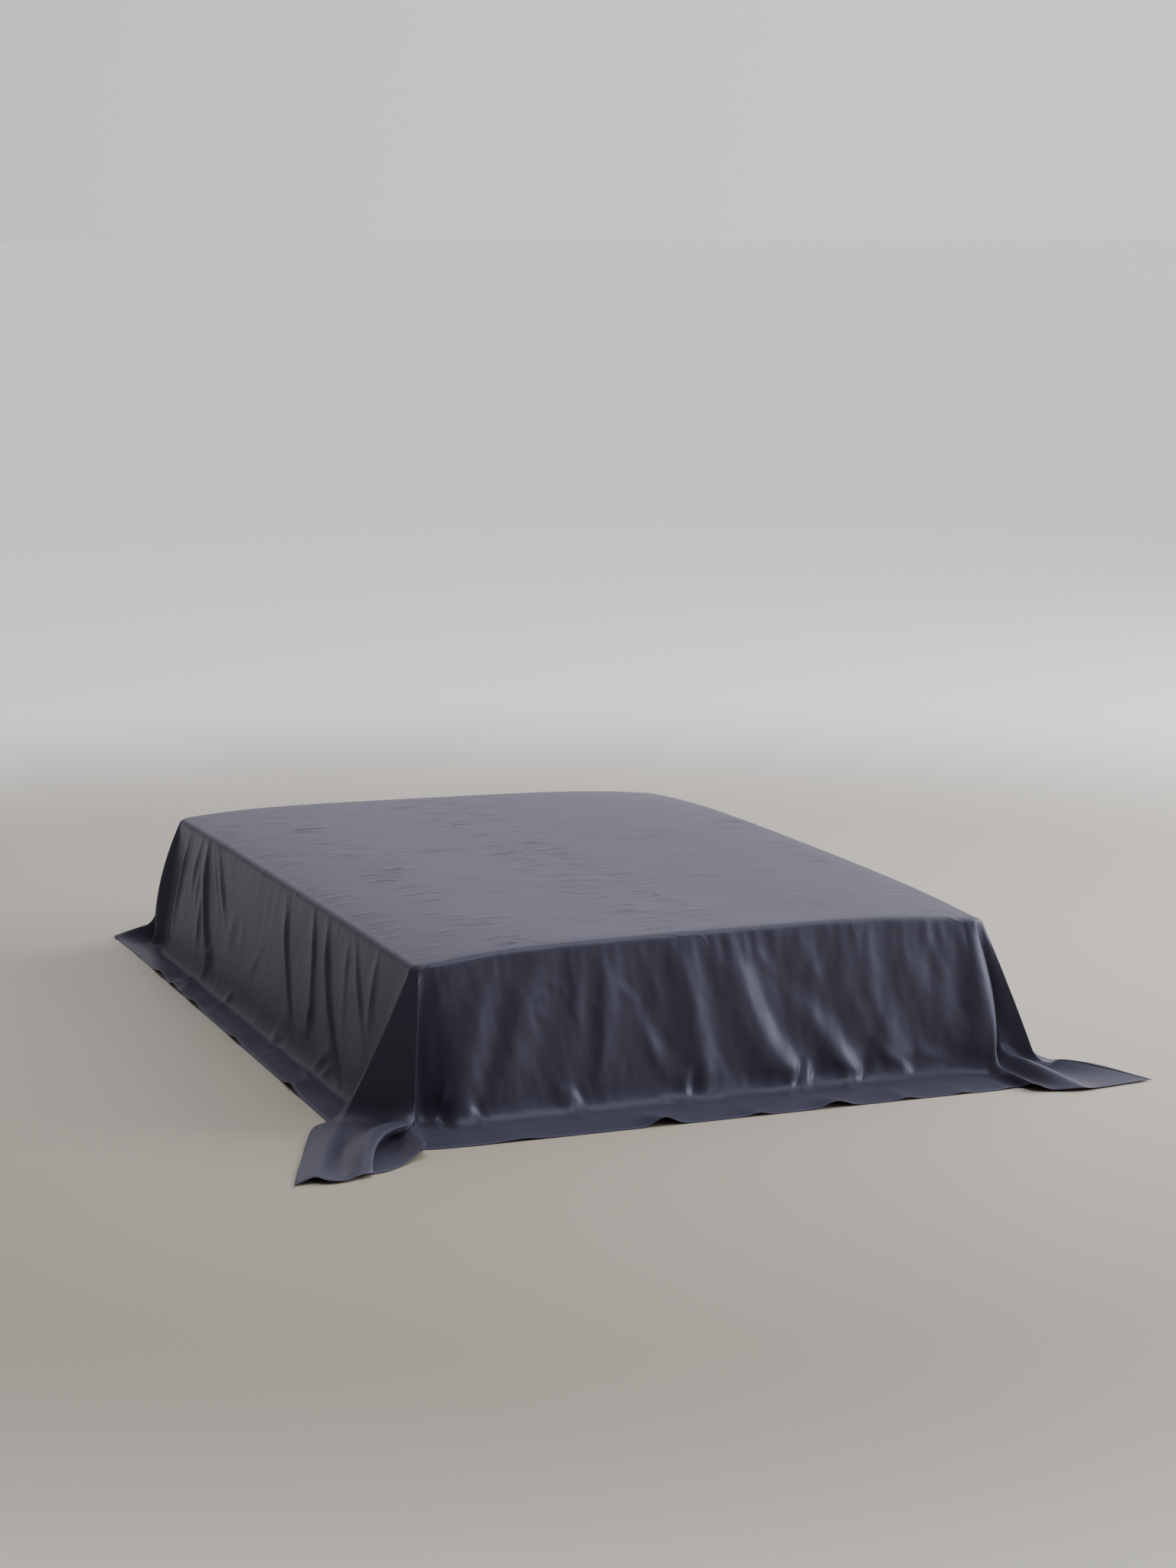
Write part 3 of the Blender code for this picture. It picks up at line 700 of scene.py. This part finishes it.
def comes_and_goes(start, end, ease_in, ease_out):
    """For each point of a column, 1 between start and end, with an ease at both."""
    return ease((DOWNS - start) / ease_in) * ease((end - DOWNS) / ease_out)


def ridge(offset, before, after, keen):
    """Height of a ridge of 1 that far from its crest, with unlike half widths."""
    offset = np.abs(offset) / (np.where(offset < 0, before, after) * MM)
    return np.exp(-(np.sqrt(offset**2 + CREST_ROUNDING) ** keen))


def fold_push(side, along):
    """How far the folds push each point of a column out of its surface."""
    push = np.zeros_like(DOWNS)
    t = np.minimum(DOWNS, 1.0)
    for fold in FOLDS[side]:
        offset = along - through(fold.top, fold.mid, fold.floor, t) * MM
        shape = ridge(offset, fold.before, fold.after, fold.keen) * (1 + VALLEY_SHARE)
        wide = fold.before * VALLEY_WIDTH, fold.after * VALLEY_WIDTH
        shape -= VALLEY_SHARE * ridge(offset, *wide, VALLEY_KEEN)
        strength = comes_and_goes(fold.start, fold.end, *FOLD_EASE)
        push += FOLD_SHARE[side] * fold.lift * MM * shape * strength
    return push


def tuck_push(side, along, fallen):
    """How far the tucks push each point of a column out of its surface."""
    push = np.zeros_like(DOWNS)
    for tuck in TUCKS[side]:
        share, offset = beside(along, fallen, tuck.along0, tuck.fall0, tuck.along1, tuck.fall1)
        taper = np.sin(math.pi * np.clip(share, 0.0, 1.0)) ** TUCK_TAPER
        push += tuck.lift * MM * taper * ridge(offset, tuck.before, tuck.after, TUCK_KEEN)
    return push


def ripple_height(page, along, height):
    """Height of the bumps at one place of a side, whose page of the noise is given."""
    total = 0.0
    for ripple in RIPPLES:
        down = height * ripple.down + along * ripple.lean * ripple.down
        total += ripple.height * MM * noise.noise(Vector((along * ripple.along, down, page)))
    return total


def pucker_height(page, along, height, down):
    """Height of the puckers at one place of a side, whose page of the noise is given."""
    share = math.exp(-(((down - PUCKER_DOWN) / PUCKER_REACH) ** 2))
    if share <= PUCKER_FAINTEST:
        return 0.0
    patch = noise.noise(Vector((along * PUCKER_PATCHES, page, PUCKER_PATCH_PAGE)))
    spot = Vector((along * PUCKERS_PER_METRE, height * PUCKERS_DOWN, page + PUCKER_PAGE))
    return PUCKER_HEIGHT * MM * noise.noise(spot) * share * max(PUCKER_LEAST, 0.5 + patch)


def unevenness(side, along, height):
    """How far small bumps and the puckers under the top edge push a column's points."""
    page = list(OUTWARD).index(side) * NOISE_PAGE
    push = np.zeros_like(DOWNS)
    for i, (a, z) in enumerate(zip(along, height)):
        push[i] = ripple_height(page, a, z) + pucker_height(page, a, z, DOWNS[i])
    return UNEVEN[side] * push * comes_and_goes(*UNEVEN_SPAN, *UNEVEN_EASE)


def arch_lift(side, along):
    """How far the hem's arches raise each point of a column off the floor."""
    out = np.clip((DOWNS - FOOT_DOWN) / (HEM_DOWN - FOOT_DOWN), 0.0, 1.0)
    lift = np.zeros_like(DOWNS)
    for arch in ARCHES[side]:
        off = (along - arch.along * MM) / (arch.width * MM)
        lift += arch.height * MM * np.exp(-(off**2))
    return lift * out * out


def add_folds(points, side, weight):
    """Moves a column out of its own surface by its side's folds, and up by its arches."""
    if weight <= 0:
        return points
    outward = OUTWARD[side]
    along = points[:, 1] if outward[1] == 0 else points[:, 0]
    tangents = np.gradient(points, axis=0)
    normals = np.zeros_like(points)
    normals[:, 2] = tangents @ outward
    normals -= np.outer(tangents[:, 2], outward)
    normals /= np.linalg.norm(normals, axis=1)[:, None] + 1e-9
    lengths = np.linalg.norm(np.diff(points, axis=0), axis=1)
    fallen = np.concatenate([[0.0], np.cumsum(lengths)])
    push = fold_push(side, along) + tuck_push(side, along, fallen)
    push += unevenness(side, along, points[:, 2])
    moved = points + normals * (push * weight)[:, None]
    moved[:, 2] += arch_lift(side, along) * weight
    moved[:, 2] = np.maximum(moved[:, 2], FLOOR_GAP)
    return moved


def place(mark, x_sign, y_sign):
    """A corner table's mark as a point, seen from that corner of the mattress."""
    past_side, past_end, height = (value * MM for value in mark)
    x = x_sign * (HALF_WIDTH + past_side)
    y = y_sign * (HALF_LENGTH + past_end)
    return np.array([x, y, max(height, 0.0) + FLOOR_GAP])


def marks_of(row):
    """The four marks of a corner table's row, each with its height."""
    return (*row.mid, MID_HEIGHT), row.crease, row.flange, row.hem


def corner_start(turn, mid, x_sign, y_sign):
    """Where a corner's column leaves the top; at both ends it slides to the panel's place."""
    inner = CORNER_RADIUS - EDGE_RADIUS
    x = x_sign * (HALF_WIDTH - CORNER_RADIUS + inner * math.sin(turn))
    y = y_sign * (HALF_LENGTH - CORNER_RADIUS + inner * math.cos(turn))
    slide_x = ease(1 - turn / CORNER_SLIDE)
    slide_y = ease(1 - (math.pi / 2 - turn) / CORNER_SLIDE)
    x += (x_sign * min(abs(mid[0]), HALF_WIDTH - CORNER_RADIUS) - x) * slide_x
    y += (y_sign * min(abs(mid[1]), HALF_LENGTH - CORNER_RADIUS) - y) * slide_y
    return x, y


def corner_columns(table, x_sign, y_sign):
    """The columns of cloth round one corner, from its end side to its long side."""
    rows = np.array([(row.turn, *np.ravel(marks_of(row))) for row in table], float)
    end_side = "foot" if y_sign < 0 else "head"
    long_side = "left" if x_sign < 0 else "right"
    columns = []
    for i, row in enumerate(table):
        steps = row.steps * CORNER_FINENESS
        for k in range(max(steps, 1)):
            values = spline(rows, i, k / steps) if steps else rows[i]
            turn = math.radians(min(max(values[0], 0.0), 90.0))
            marks = [place(mark, x_sign, y_sign) for mark in values[1:].reshape(4, 3)]
            x, y = corner_start(turn, marks[0], x_sign, y_sign)
            outward = np.array([x_sign * math.sin(turn), y_sign * math.cos(turn), 0.0])
            fullness = CORNER_FULLNESS[end_side, long_side] * math.sin(2 * turn) ** 2
            points = fall(x, y, outward, marks, fullness)
            points = add_folds(points, end_side, 1 - ease(turn / SIDE_FOLDS_REACH))
            to_long_side = math.pi / 2 - turn
            points = add_folds(points, long_side, 1 - ease(to_long_side / SIDE_FOLDS_REACH))
            columns.append(points)
    return columns


def panel_columns(side, first, last):
    """The columns of cloth along one side, between two corners' outer columns."""
    outward = OUTWARD[side]
    axis = 1 if outward[1] == 0 else 0
    ends = []
    for row, x_sign, y_sign in (first, last):
        ends.append([place(mark, x_sign, y_sign) for mark in marks_of(row)])
    columns = []
    for k in range(1, PANEL_STEPS[side]):
        t = k / PANEL_STEPS[side]
        marks = [a * (1 - t) + b * t for a, b in zip(*ends)]
        start = outward * ((HALF_LENGTH if axis == 0 else HALF_WIDTH) - EDGE_RADIUS)
        start[axis] = marks[0][axis]
        points = fall(start[0], start[1], outward, marks)
        columns.append(add_folds(points, side, 1.0))
    return columns


def skirt_columns():
    """All the columns of the hanging part in one closed round: foot, right, head, left."""
    foot_left = (FOOT_LEFT, -1, -1)
    foot_right = (FOOT_RIGHT, 1, -1)
    head_right = (HEAD_RIGHT, 1, 1)
    head_left = (HEAD_LEFT, -1, 1)

    def outer(corner, index):
        table, x_sign, y_sign = corner
        return table[index], x_sign, y_sign

    columns = panel_columns("foot", outer(foot_left, 0), outer(foot_right, 0))
    columns += corner_columns(*foot_right)
    columns += panel_columns("right", outer(foot_right, -1), outer(head_right, -1))
    columns += corner_columns(*head_right)[::-1]
    columns += panel_columns("head", outer(head_right, 0), outer(head_left, 0))
    columns += corner_columns(*head_left)
    columns += panel_columns("left", outer(head_left, -1), outer(foot_left, -1))
    columns += corner_columns(*foot_left)[::-1]
    return np.array(columns)


def turned_hem(columns):
    """The rows of the hem: over the edge, back under the cloth, and its raw edge tucked up."""
    edge, inner = columns[:, -1], columns[:, -2]
    out = edge - inner
    out /= np.linalg.norm(out, axis=1)[:, None]
    along = np.roll(edge, -1, axis=0) - np.roll(edge, 1, axis=0)
    along /= np.linalg.norm(along, axis=1)[:, None]
    up = np.cross(along, out)
    up /= np.linalg.norm(up, axis=1)[:, None]
    up *= np.where(up[:, 2:3] < 0, -1.0, 1.0)
    rows = []
    for share_out, share_down in HEM_ROUND:
        rows.append(edge + (out * share_out - up * share_down) * HEM_THICKNESS)
    for share_in, share_down in HEM_BACK:
        rows.append(edge - out * HEM_WIDTH * share_in - up * HEM_THICKNESS * share_down)
    rows = np.array(rows)
    rows[:, :, 2] = np.maximum(rows[:, :, 2], HEM_FLOOR_GAP)
    return rows


def stitch(mesh, outer, inner):
    """Fills the strip between two closed rings of points that run the same way round."""
    start = min(range(len(inner)), key=lambda k: (inner[k].co - outer[0].co).length)
    inner = inner[start:] + inner[:start]
    i = j = 0
    while i < len(outer) or j < len(inner):
        a, b = outer[i % len(outer)], inner[j % len(inner)]
        next_a, next_b = outer[(i + 1) % len(outer)], inner[(j + 1) % len(inner)]
        outer_first = (next_a.co - b.co).length <= (next_b.co - a.co).length
        if j == len(inner) or (i < len(outer) and outer_first):
            mesh.faces.new((a, next_a, b))
            i += 1
        else:
            mesh.faces.new((a, next_b, b))
            j += 1


def add_middle(mesh, ring):
    """The middle of the top, joined to the ring of points that lies round it."""
    half_x, half_y = HALF_WIDTH - MIDDLE_INSET, HALF_LENGTH - MIDDLE_INSET
    lines_x = np.linspace(-half_x, half_x, round(2 * half_x / CELL_ACROSS) + 1)
    lines_y = np.linspace(-half_y, half_y, round(2 * half_y / CELL_ALONG) + 1)
    grid_x, grid_y = np.meshgrid(lines_x, lines_y)
    grid_z = mattress_top(grid_x, grid_y) + TOP_GAP
    verts = []
    for row in np.dstack([grid_x, grid_y, grid_z]):
        verts.append([mesh.verts.new(point) for point in row])
    for low, high in zip(verts, verts[1:]):
        for k in range(len(low) - 1):
            mesh.faces.new((low[k], low[k + 1], high[k + 1], high[k]))
    border = verts[0] + [row[-1] for row in verts[1:]] + verts[-1][-2::-1]
    border += [row[0] for row in verts[-2:0:-1]]
    stitch(mesh, ring, border)
    inset_layer = mesh.verts.layers.float["hem_inset"]
    for row in verts:
        for vert in row:
            vert[inset_layer] = MEASURED_INSET


def hem_measures(columns):
    """For each row and column of the hanging part: how far in from the hem, and along it."""
    steps = np.linalg.norm(np.diff(columns, axis=1), axis=2)
    inward = np.cumsum(steps[:, ::-1], axis=1)[:, ::-1]
    inset = np.concatenate([inward, np.zeros((len(columns), 1))], axis=1)
    strides = np.linalg.norm(np.diff(columns[:, -1], axis=0), axis=1)
    run = np.concatenate([[0.0], np.cumsum(strides)])
    return np.minimum(inset, MEASURED_INSET), run


def add_skirt(mesh, columns):
    """The hanging part and its hem, row by row; gives back the ring of points at its top."""
    rows = list(columns.transpose(1, 0, 2)) + list(turned_hem(columns))
    inset, run = hem_measures(columns)
    inset_layer = mesh.verts.layers.float["hem_inset"]
    run_layer = mesh.verts.layers.float["hem_run"]
    rings = []
    for i, row in enumerate(rows):
        ring = [mesh.verts.new(point) for point in row]
        for k, vert in enumerate(ring):
            vert[inset_layer] = inset[k, i] if i < inset.shape[1] else 0.0
            vert[run_layer] = run[k]
        rings.append(ring)
    for upper, lower in zip(rings, rings[1:]):
        for k in range(len(upper)):
            n = (k + 1) % len(upper)
            mesh.faces.new((upper[k], lower[k], lower[n], upper[n]))
    return rings[0]


def raise_lying(mesh):
    """Lifts the cloth that lies on the top by its creases and its unevenness."""
    half_x, half_y = HALF_WIDTH - LYING_INSET, HALF_LENGTH - LYING_INSET
    lying = []
    for vert in mesh.verts:
        if vert.co.z > LYING_HEIGHT and abs(vert.co.x) < half_x and abs(vert.co.y) < half_y:
            lying.append(vert)
    spots = np.array([vert.co for vert in lying])
    for vert, lift in zip(lying, lying_relief(spots[:, 0], spots[:, 1])):
        vert.co.z += lift


def build_sheet():
    """The cloth as one thin mesh, with its hem."""
    mesh = bmesh.new()
    mesh.verts.layers.float.new("hem_inset")
    mesh.verts.layers.float.new("hem_run")
    add_middle(mesh, add_skirt(mesh, skirt_columns()))
    raise_lying(mesh)
    bmesh.ops.recalc_face_normals(mesh, faces=mesh.faces)
    data = bpy.data.meshes.new("cloth")
    mesh.to_mesh(data)
    mesh.free()
    data.shade_smooth()
    cloth = bpy.data.objects.new("cloth", data)
    bpy.context.scene.collection.objects.link(cloth)
    return cloth


def shade(colour, times=1.0):
    """A colour for a socket, made that many times as bright."""
    return (*(part * times for part in colour), 1.0)


def set_input(owner, socket, value):
    """Gives a socket that value, or joins another node's output to it."""
    if isinstance(value, bpy.types.NodeSocket):
        owner.node_tree.links.new(value, socket)
    else:
        socket.default_value = value


def new_material(name, colour, finish):
    """A material and its shader, whose sockets get the colour and the finish's values."""
    material = bpy.data.materials.new(name)
    material.use_nodes = True
    shader = material.node_tree.nodes["Principled BSDF"]
    shader.inputs["Base Color"].default_value = shade(colour)
    for socket, value in finish.items():
        shader.inputs[socket].default_value = value
    return material, shader


def add_node(owner, kind, **settings):
    """A new shader node of that kind, with its properties and inputs set."""
    node = owner.node_tree.nodes.new("ShaderNode" + kind)
    for name, value in settings.items():
        if name in node.inputs:
            set_input(owner, node.inputs[name], value)
        else:
            setattr(node, name, value)
    return node


def math_node(material, operation, first, second=None, clamp=False):
    """A sum with one node; each side of it is a number or another node's output."""
    node = add_node(material, "Math", operation=operation, use_clamp=clamp)
    set_input(material, node.inputs[0], first)
    if second is not None:
        set_input(material, node.inputs[1], second)
    return node.outputs[0]


def near(material, value, centre, width):
    """1 where value is at centre, falling to 0 at that width from it."""
    off = math_node(material, "ABSOLUTE", math_node(material, "SUBTRACT", value, centre))
    share = math_node(material, "DIVIDE", off, width)
    return math_node(material, "SUBTRACT", 1.0, share, clamp=True)


def smooth_range(owner, value, start, end, low=0.0, high=1.0):
    """low where value is at start and high where it is at end, with a smooth step between."""
    step = {"interpolation_type": "SMOOTHSTEP", "From Min": start, "From Max": end}
    node = add_node(owner, "MapRange", **step, **{"To Min": low, "To Max": high})
    set_input(owner, node.inputs["Value"], value)
    return node.outputs["Result"]


def along_way(owner, spot, way):
    """How far along that way a spot lies."""
    node = add_node(owner, "VectorMath", operation="DOT_PRODUCT")
    set_input(owner, node.inputs[0], spot)
    set_input(owner, node.inputs[1], way)
    return node.outputs["Value"]


def noise_value(material, spot, settings):
    """The value of a noise texture at that spot."""
    return add_node(material, "TexNoise", Vector=spot, **settings).outputs["Fac"]


def mixed(material, first, second, amount):
    """The mix of two colours, each of them a colour or another node's output."""
    ends = {"A": first, "B": second, "Factor": amount}
    return add_node(material, "Mix", data_type="RGBA", **ends).outputs["Result"]


def add_relief(material, shader, layers):
    """Gives a shader's surface its relief, from heights with their strength and distance."""
    below = {}
    for height, (strength, distance) in layers:
        sizes = {"Strength": strength, "Distance": distance, "Height": height}
        bump = add_node(material, "Bump", **sizes, **below)
        below = {"Normal": bump.outputs["Normal"]}
    set_input(material, shader.inputs["Normal"], below["Normal"])


def pressed_share(material, spot):
    """How thick the wrinkles are: most along the pressed lines, and none off the top."""
    parts = add_node(material, "SeparateXYZ", Vector=spot)
    share = WRINKLES_ELSEWHERE
    for axis, centre, width, strength in PRESSED_LINES:
        band = near(material, parts.outputs[axis], centre, width)
        band = math_node(material, "MULTIPLY", band, strength)
        share = math_node(material, "MAXIMUM", band, share)
    lying = math_node(material, "GREATER_THAN", parts.outputs["Z"], WRINKLES_ABOVE)
    return math_node(material, "MULTIPLY", share, lying)


def pressed_wrinkles(material, spot):
    """Fine short wrinkles on the top, thickest along the lines where the sheet was folded."""
    turn = {"Rotation": (0.0, 0.0, math.radians(WRINKLE_TURN)), "Scale": WRINKLE_STRETCH}
    drawn = add_node(material, "Mapping", Vector=spot, **turn).outputs["Vector"]
    lines = noise_value(material, drawn, WRINKLE_NOISE)
    height = near(material, lines, WRINKLE_LEVEL, WRINKLE_WIDTH)
    height = math_node(material, "MULTIPLY", height, height)
    height = math_node(material, "MULTIPLY", height, pressed_share(material, spot))
    patches = near(material, noise_value(material, spot, PATCH_NOISE), PATCH_LEVEL, PATCH_FADE)
    return math_node(material, "MULTIPLY", height, patches)


def hem_and_thread(material):
    """The height of the hem, with its sunk stitch line, and where its threads show."""
    inset = add_node(material, "Attribute", attribute_name="hem_inset").outputs["Fac"]
    run = add_node(material, "Attribute", attribute_name="hem_run").outputs["Fac"]
    doubled = math_node(material, "LESS_THAN", inset, HEM_WIDTH)
    line = near(material, inset, STITCH_INSET, STITCH_WIDTH)
    sunk = math_node(material, "MULTIPLY", line, STITCH_SINK)
    step = math_node(material, "FRACT", math_node(material, "DIVIDE", run, STITCH_PITCH))
    sewn = math_node(material, "LESS_THAN", step, THREAD_SHARE)
    height = math_node(material, "SUBTRACT", doubled, sunk)
    return height, math_node(material, "MULTIPLY", line, sewn)


def sateen_material():
    """Dark blue-grey cotton sateen: a close weave, a soft sheen and slight colour change."""
    material, shader = new_material("sateen", SATEEN_COLOUR, SATEEN_FINISH)
    spot = add_node(material, "TexCoord").outputs["Object"]
    hem_height, thread = hem_and_thread(material)
    darker, lighter = shade(SATEEN_COLOUR, 1 - CLOUD_DEPTH), shade(SATEEN_COLOUR, 1 + CLOUD_DEPTH)
    tones = mixed(material, darker, lighter, noise_value(material, spot, CLOUD_NOISE))
    stitched = mixed(material, tones, shade(SATEEN_COLOUR, STITCH_PALENESS), thread)
    set_input(material, shader.inputs["Base Color"], stitched)
    layers = (
        (pressed_wrinkles(material, spot), PRESSED_RELIEF),
        (hem_height, HEM_RELIEF),
        (noise_value(material, spot, CRUMPLE_NOISE), CRUMPLE_RELIEF),
        (noise_value(material, spot, WEAVE_NOISE), WEAVE_RELIEF),
    )
    add_relief(material, shader, layers)
    return material


def ticking_material():
    """Plain off-white woven mattress cover."""
    material, shader = new_material("ticking", TICKING_COLOUR, TICKING_FINISH)
    spot = add_node(material, "TexCoord").outputs["Object"]
    weave = noise_value(material, spot, TICKING_NOISE)
    add_relief(material, shader, [(weave, TICKING_RELIEF)])
    return material


def floor_material():
    """Pale warm-grey studio floor: painted shade on the near left, painted light on the right, paler away
    from the cloth.
    """
    material, shader = new_material("studio_floor", FLOOR_PAINTED_SHADE, FLOOR_FINISH)
    spot = add_node(material, "NewGeometry").outputs["Position"]
    reach = add_node(material, "VectorMath", operation="LENGTH", Vector=spot)
    far = smooth_range(material, reach.outputs["Value"], *FLOOR_FAR_REACH)
    # Painted light and shade: the floor's colour darkens towards the near left and brightens towards the
    # right
    painted_light_share = smooth_range(material, along_way(material, spot, FLOOR_PAINTED_LIGHT_WAY), *FLOOR_PAINTED_LIGHT_REACH)
    close = mixed(material, shade(FLOOR_PAINTED_SHADE), shade(FLOOR_PAINTED_LIGHT), painted_light_share)
    tones = mixed(material, close, shade(FLOOR_FAR), far)
    set_input(material, shader.inputs["Base Color"], tones)
    set_input(material, shader.inputs["Emission Color"], tones)
    glow = math_node(material, "MULTIPLY", far, FLOOR_GLOW)
    set_input(material, shader.inputs["Emission Strength"], glow)
    return material


def add_floor():
    """A plain floor that reaches well past the camera's view."""
    bpy.ops.mesh.primitive_plane_add(size=FLOOR_SIZE, location=(0.0, 0.0, 0.0))
    floor = bpy.context.object
    floor.name = "studio_floor_plane"
    floor.data.materials.append(floor_material())


def add_area(name, spot, size, power):
    """A square soft light that shines from its spot towards the middle of the floor."""
    lamp = bpy.data.lights.new(name, "AREA")
    lamp.size = size
    lamp.energy = power
    holder = bpy.data.objects.new(name, lamp)
    holder.location = spot
    holder.rotation_euler = (-Vector(spot)).to_track_quat("-Z", "Y").to_euler()
    bpy.context.scene.collection.objects.link(holder)


def add_lights():
    """Pale surroundings, brightest on the right, and three soft lights."""
    world = bpy.data.worlds.new("studio")
    bpy.context.scene.world = world
    world.use_nodes = True
    way = add_node(world, "TexCoord").outputs["Generated"]
    toward_light = along_way(world, way, SKY_BRIGHT_WAY)
    strength = smooth_range(world, toward_light, *SKY_FADE, SKY_DARK, SKY_BRIGHT)
    sky = world.node_tree.nodes["Background"]
    sky.inputs["Color"].default_value = SKY_COLOUR
    set_input(world, sky.inputs["Strength"], strength)
    for lamp in LAMPS:
        add_area(*lamp)


def add_camera():
    """The camera, as the photo was taken."""
    yaw, pitch = math.radians(CAMERA_TURN), math.radians(CAMERA_DOWN)
    forward = Vector((math.sin(yaw) * math.cos(pitch), math.cos(yaw) * math.cos(pitch), -math.sin(pitch)))
    data = bpy.data.cameras.new("camera")
    data.sensor_fit = "VERTICAL"
    data.sensor_height = SENSOR
    data.sensor_width = SENSOR
    data.lens = LENS
    camera = bpy.data.objects.new("camera", data)
    camera.location = CAMERA_PLACE
    camera.rotation_euler = forward.to_track_quat("-Z", "Y").to_euler()
    bpy.context.scene.collection.objects.link(camera)
    bpy.context.scene.camera = camera


def dress():
    """Puts the fine cloth in the sheet's place and gives the mattress its finish."""
    cloth = build_sheet()
    cloth.data.materials.append(sateen_material())
    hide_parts("sheet")
    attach(cloth, "root")
    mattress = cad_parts["mattress"]
    mattress.data.materials.clear()
    mattress.data.materials.append(ticking_material())


add_camera()
dress()
add_floor()
add_lights()
